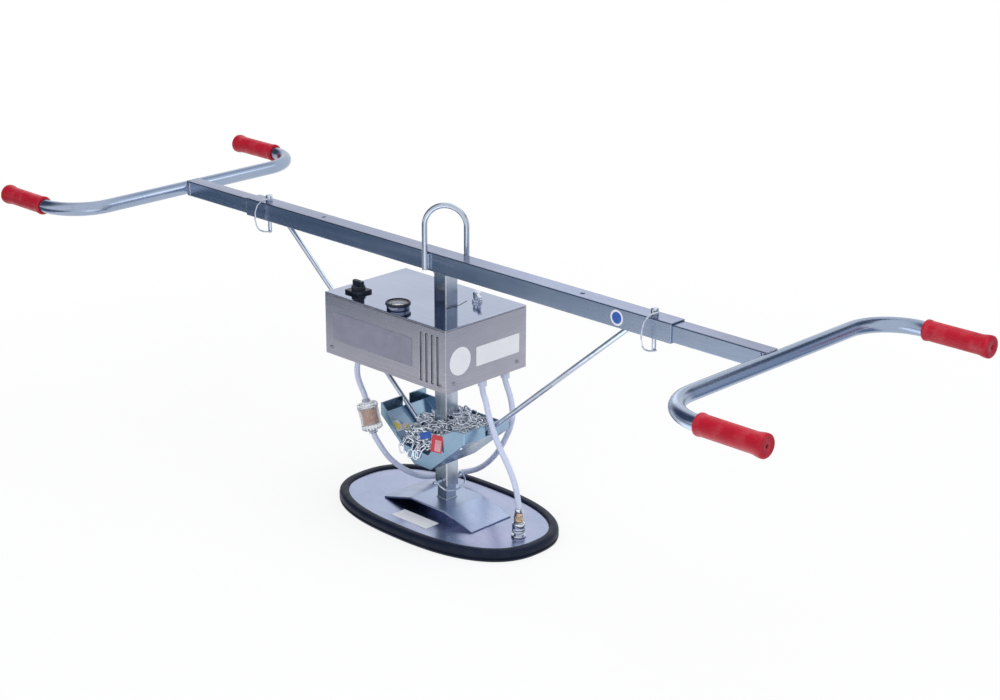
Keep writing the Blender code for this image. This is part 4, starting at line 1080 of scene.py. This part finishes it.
front_way = (0, -1, 0)
right_way = (1, 0, 0)
disc_place = (0.429, bar_low.y, bar_axis)
sticker("panel_front", (-0.0885, hood_low.y, 0.3605), front_way, rounded(0.213, 0.055, 0.003), panel_vinyl)
sticker("label_side", (hood_high.x, 0.029, 0.3545), right_way, rounded(0.112, 0.037, 0.002), white_vinyl)
sticker("label_round", (hood_high.x, -0.068, 0.357), right_way, circle(0.0265), white_vinyl)
sticker("bar_disc_rim", disc_place, front_way, circle(0.0140), white_vinyl)
sticker("bar_disc", disc_place, front_way, circle(0.0104), blue_vinyl, 0.0003)
sticker("plate_label", (-0.0025, -0.081, plate_top), (0, 0, 1), rounded(0.093, 0.034, 0.001), white_vinyl,
        up=(0, 1, 0))

# Floor, light and studio cards.
scene = bpy.context.scene
scene.view_settings.view_transform = "Standard"


def seen_directly(tree):
    """1 for the rays that see the background as it is, 0 for the others."""
    path = add_node(tree, "LightPath", {})
    value = path["Is Camera Ray"]
    for kind in ("Is Glossy Ray", "Is Transmission Ray"):
        value = add_node(tree, "Math", {0: value, 1: path[kind]}, operation="MAXIMUM")["Value"]
    return value


world = bpy.data.worlds.new("studio")
scene.world = world
world.use_nodes = True
tree = world.node_tree
sky = tree.nodes["Background"]
studio_way = add_node(tree, "TexCoord", {})["Generated"]
dark_way = Vector((-0.80, -0.30, 0.50)).normalized()
toward = add_node(tree, "VectorMath", {0: studio_way, 1: dark_way}, operation="DOT_PRODUCT")["Value"]
shade = scaled(tree, toward, 0.0, 1.0, cos(radians(44)), cos(radians(28)))
backdrop = mixed(tree, shade, (1, 1, 1), (0.06, 0.09, 0.15))
fill(tree, sky.inputs["Color"], mixed(tree, seen_directly(tree), (0.62, 0.63, 0.66), backdrop))
sky.inputs["Strength"].default_value = 1.0


def level(x0, x1, y0, y1, z):
    """Corners of a level rectangle."""
    return [(x0, y0, z), (x1, y0, z), (x1, y1, z), (x0, y1, z)]


def upright(x0, x1, y, z0, z1):
    """Corners of an upright rectangle that faces along Y."""
    return [(x0, y, z0), (x1, y, z0), (x1, y, z1), (x0, y, z1)]


def staged(name, corners, mat):
    """A flat face with a material, for the floor and the studio cards."""
    mesh = bpy.data.meshes.new(name)
    mesh.from_pydata(corners, [], [(0, 1, 2, 3)])
    mesh.materials.append(mat)
    obj = linked(name, mesh)
    return obj


mat, tree, shader = surface("floor_white", (0.86, 0.86, 0.87), 0.7, Specular_IOR_Level=0.0)
away = add_node(tree, "VectorMath", {0: add_node(tree, "TexCoord", {})["Object"]},
                operation="LENGTH")["Value"]
fade = scaled(tree, away, 0.80, 1.0, 0.6, 1.8)
share = add_node(tree, "Math", {0: seen_directly(tree), 1: fade}, operation="MULTIPLY")["Value"]
glow = add_node(tree, "Emission", {"Color": (1, 1, 1)})["Emission"]
blend = add_node(tree, "MixShader", {"Fac": share, 1: shader.outputs["BSDF"], 2: glow})["Shader"]
fill(tree, tree.nodes["Material Output"].inputs["Surface"], blend)
staged("floor", level(-14.0, 14.0, -14.0, 14.0, 0), mat)


def lamp(name, place, aim, width, height, power):
    data = bpy.data.lights.new(name, "AREA")
    data.shape = "RECTANGLE"
    data.size = width
    data.size_y = height
    data.energy = power
    obj = linked(name, data)
    obj.location = place
    obj.rotation_mode = "QUATERNION"
    obj.rotation_quaternion = (Vector(aim) - Vector(place)).to_track_quat("-Z", "Y")
    obj.visible_glossy = False


lamp("top_box", (0.3, 0.2, 3.4), (0, 0, 0.3), 3.0, 2.2, 60)
lamp("front_box", (2.6, -3.4, 2.6), (0, 0, 0.3), 3.0, 3.0, 36)


def card(name, corners, colour):
    """A studio card, dark or bright, that only reflections see."""
    mat, tree, shader = surface(name, (0, 0, 0), 1.0)
    glow = add_node(tree, "Emission", {"Color": colour})["Emission"]
    fill(tree, tree.nodes["Material Output"].inputs["Surface"], glow)
    obj = staged(name, corners, mat)
    obj.visible_camera = False
    obj.visible_diffuse = False
    obj.visible_transmission = False
    obj.visible_shadow = False


low_z = 0.004                   # of the cards that lie on the floor
card("card_left", [(-4.5, -3.2, low_z), (0.90, -2.67, low_z), (-1.22, -0.55, low_z), (-4.5, -0.55, low_z)],
     (0.10, 0.15, 0.22))
card("card_streak", level(0.72, 1.45, 0.36, 1.25, 1.04), (0.07, 0.10, 0.16))
card("card_right", upright(1.20, 2.05, 1.0, low_z, 1.10), (0.40, 0.48, 0.62))
card("card_low_right", level(0.97, 2.4, 0.25, 1.0, low_z), (0.26, 0.33, 0.46))
card("card_glint", level(-0.40, 0.12, 0.20, 0.70, 0.90), (2.0, 2.05, 2.1))
card("card_high_left", level(-1.02, -0.66, 0.08, 0.56, 0.90), (0.60, 0.66, 0.75))
card("card_column", upright(-0.185, -0.085, -0.143, 0.130, 0.186), (0.10, 0.14, 0.18))
card("card_foot", level(-0.32, -0.11, -0.26, -0.155, low_z), (0.24, 0.29, 0.33))
card("card_front", [(-0.045, -0.530, low_z), (1.10, -1.72, low_z), (1.68, -1.16, low_z),
                    (0.53, 0.026, low_z)],
     (1.80, 1.85, 1.95))
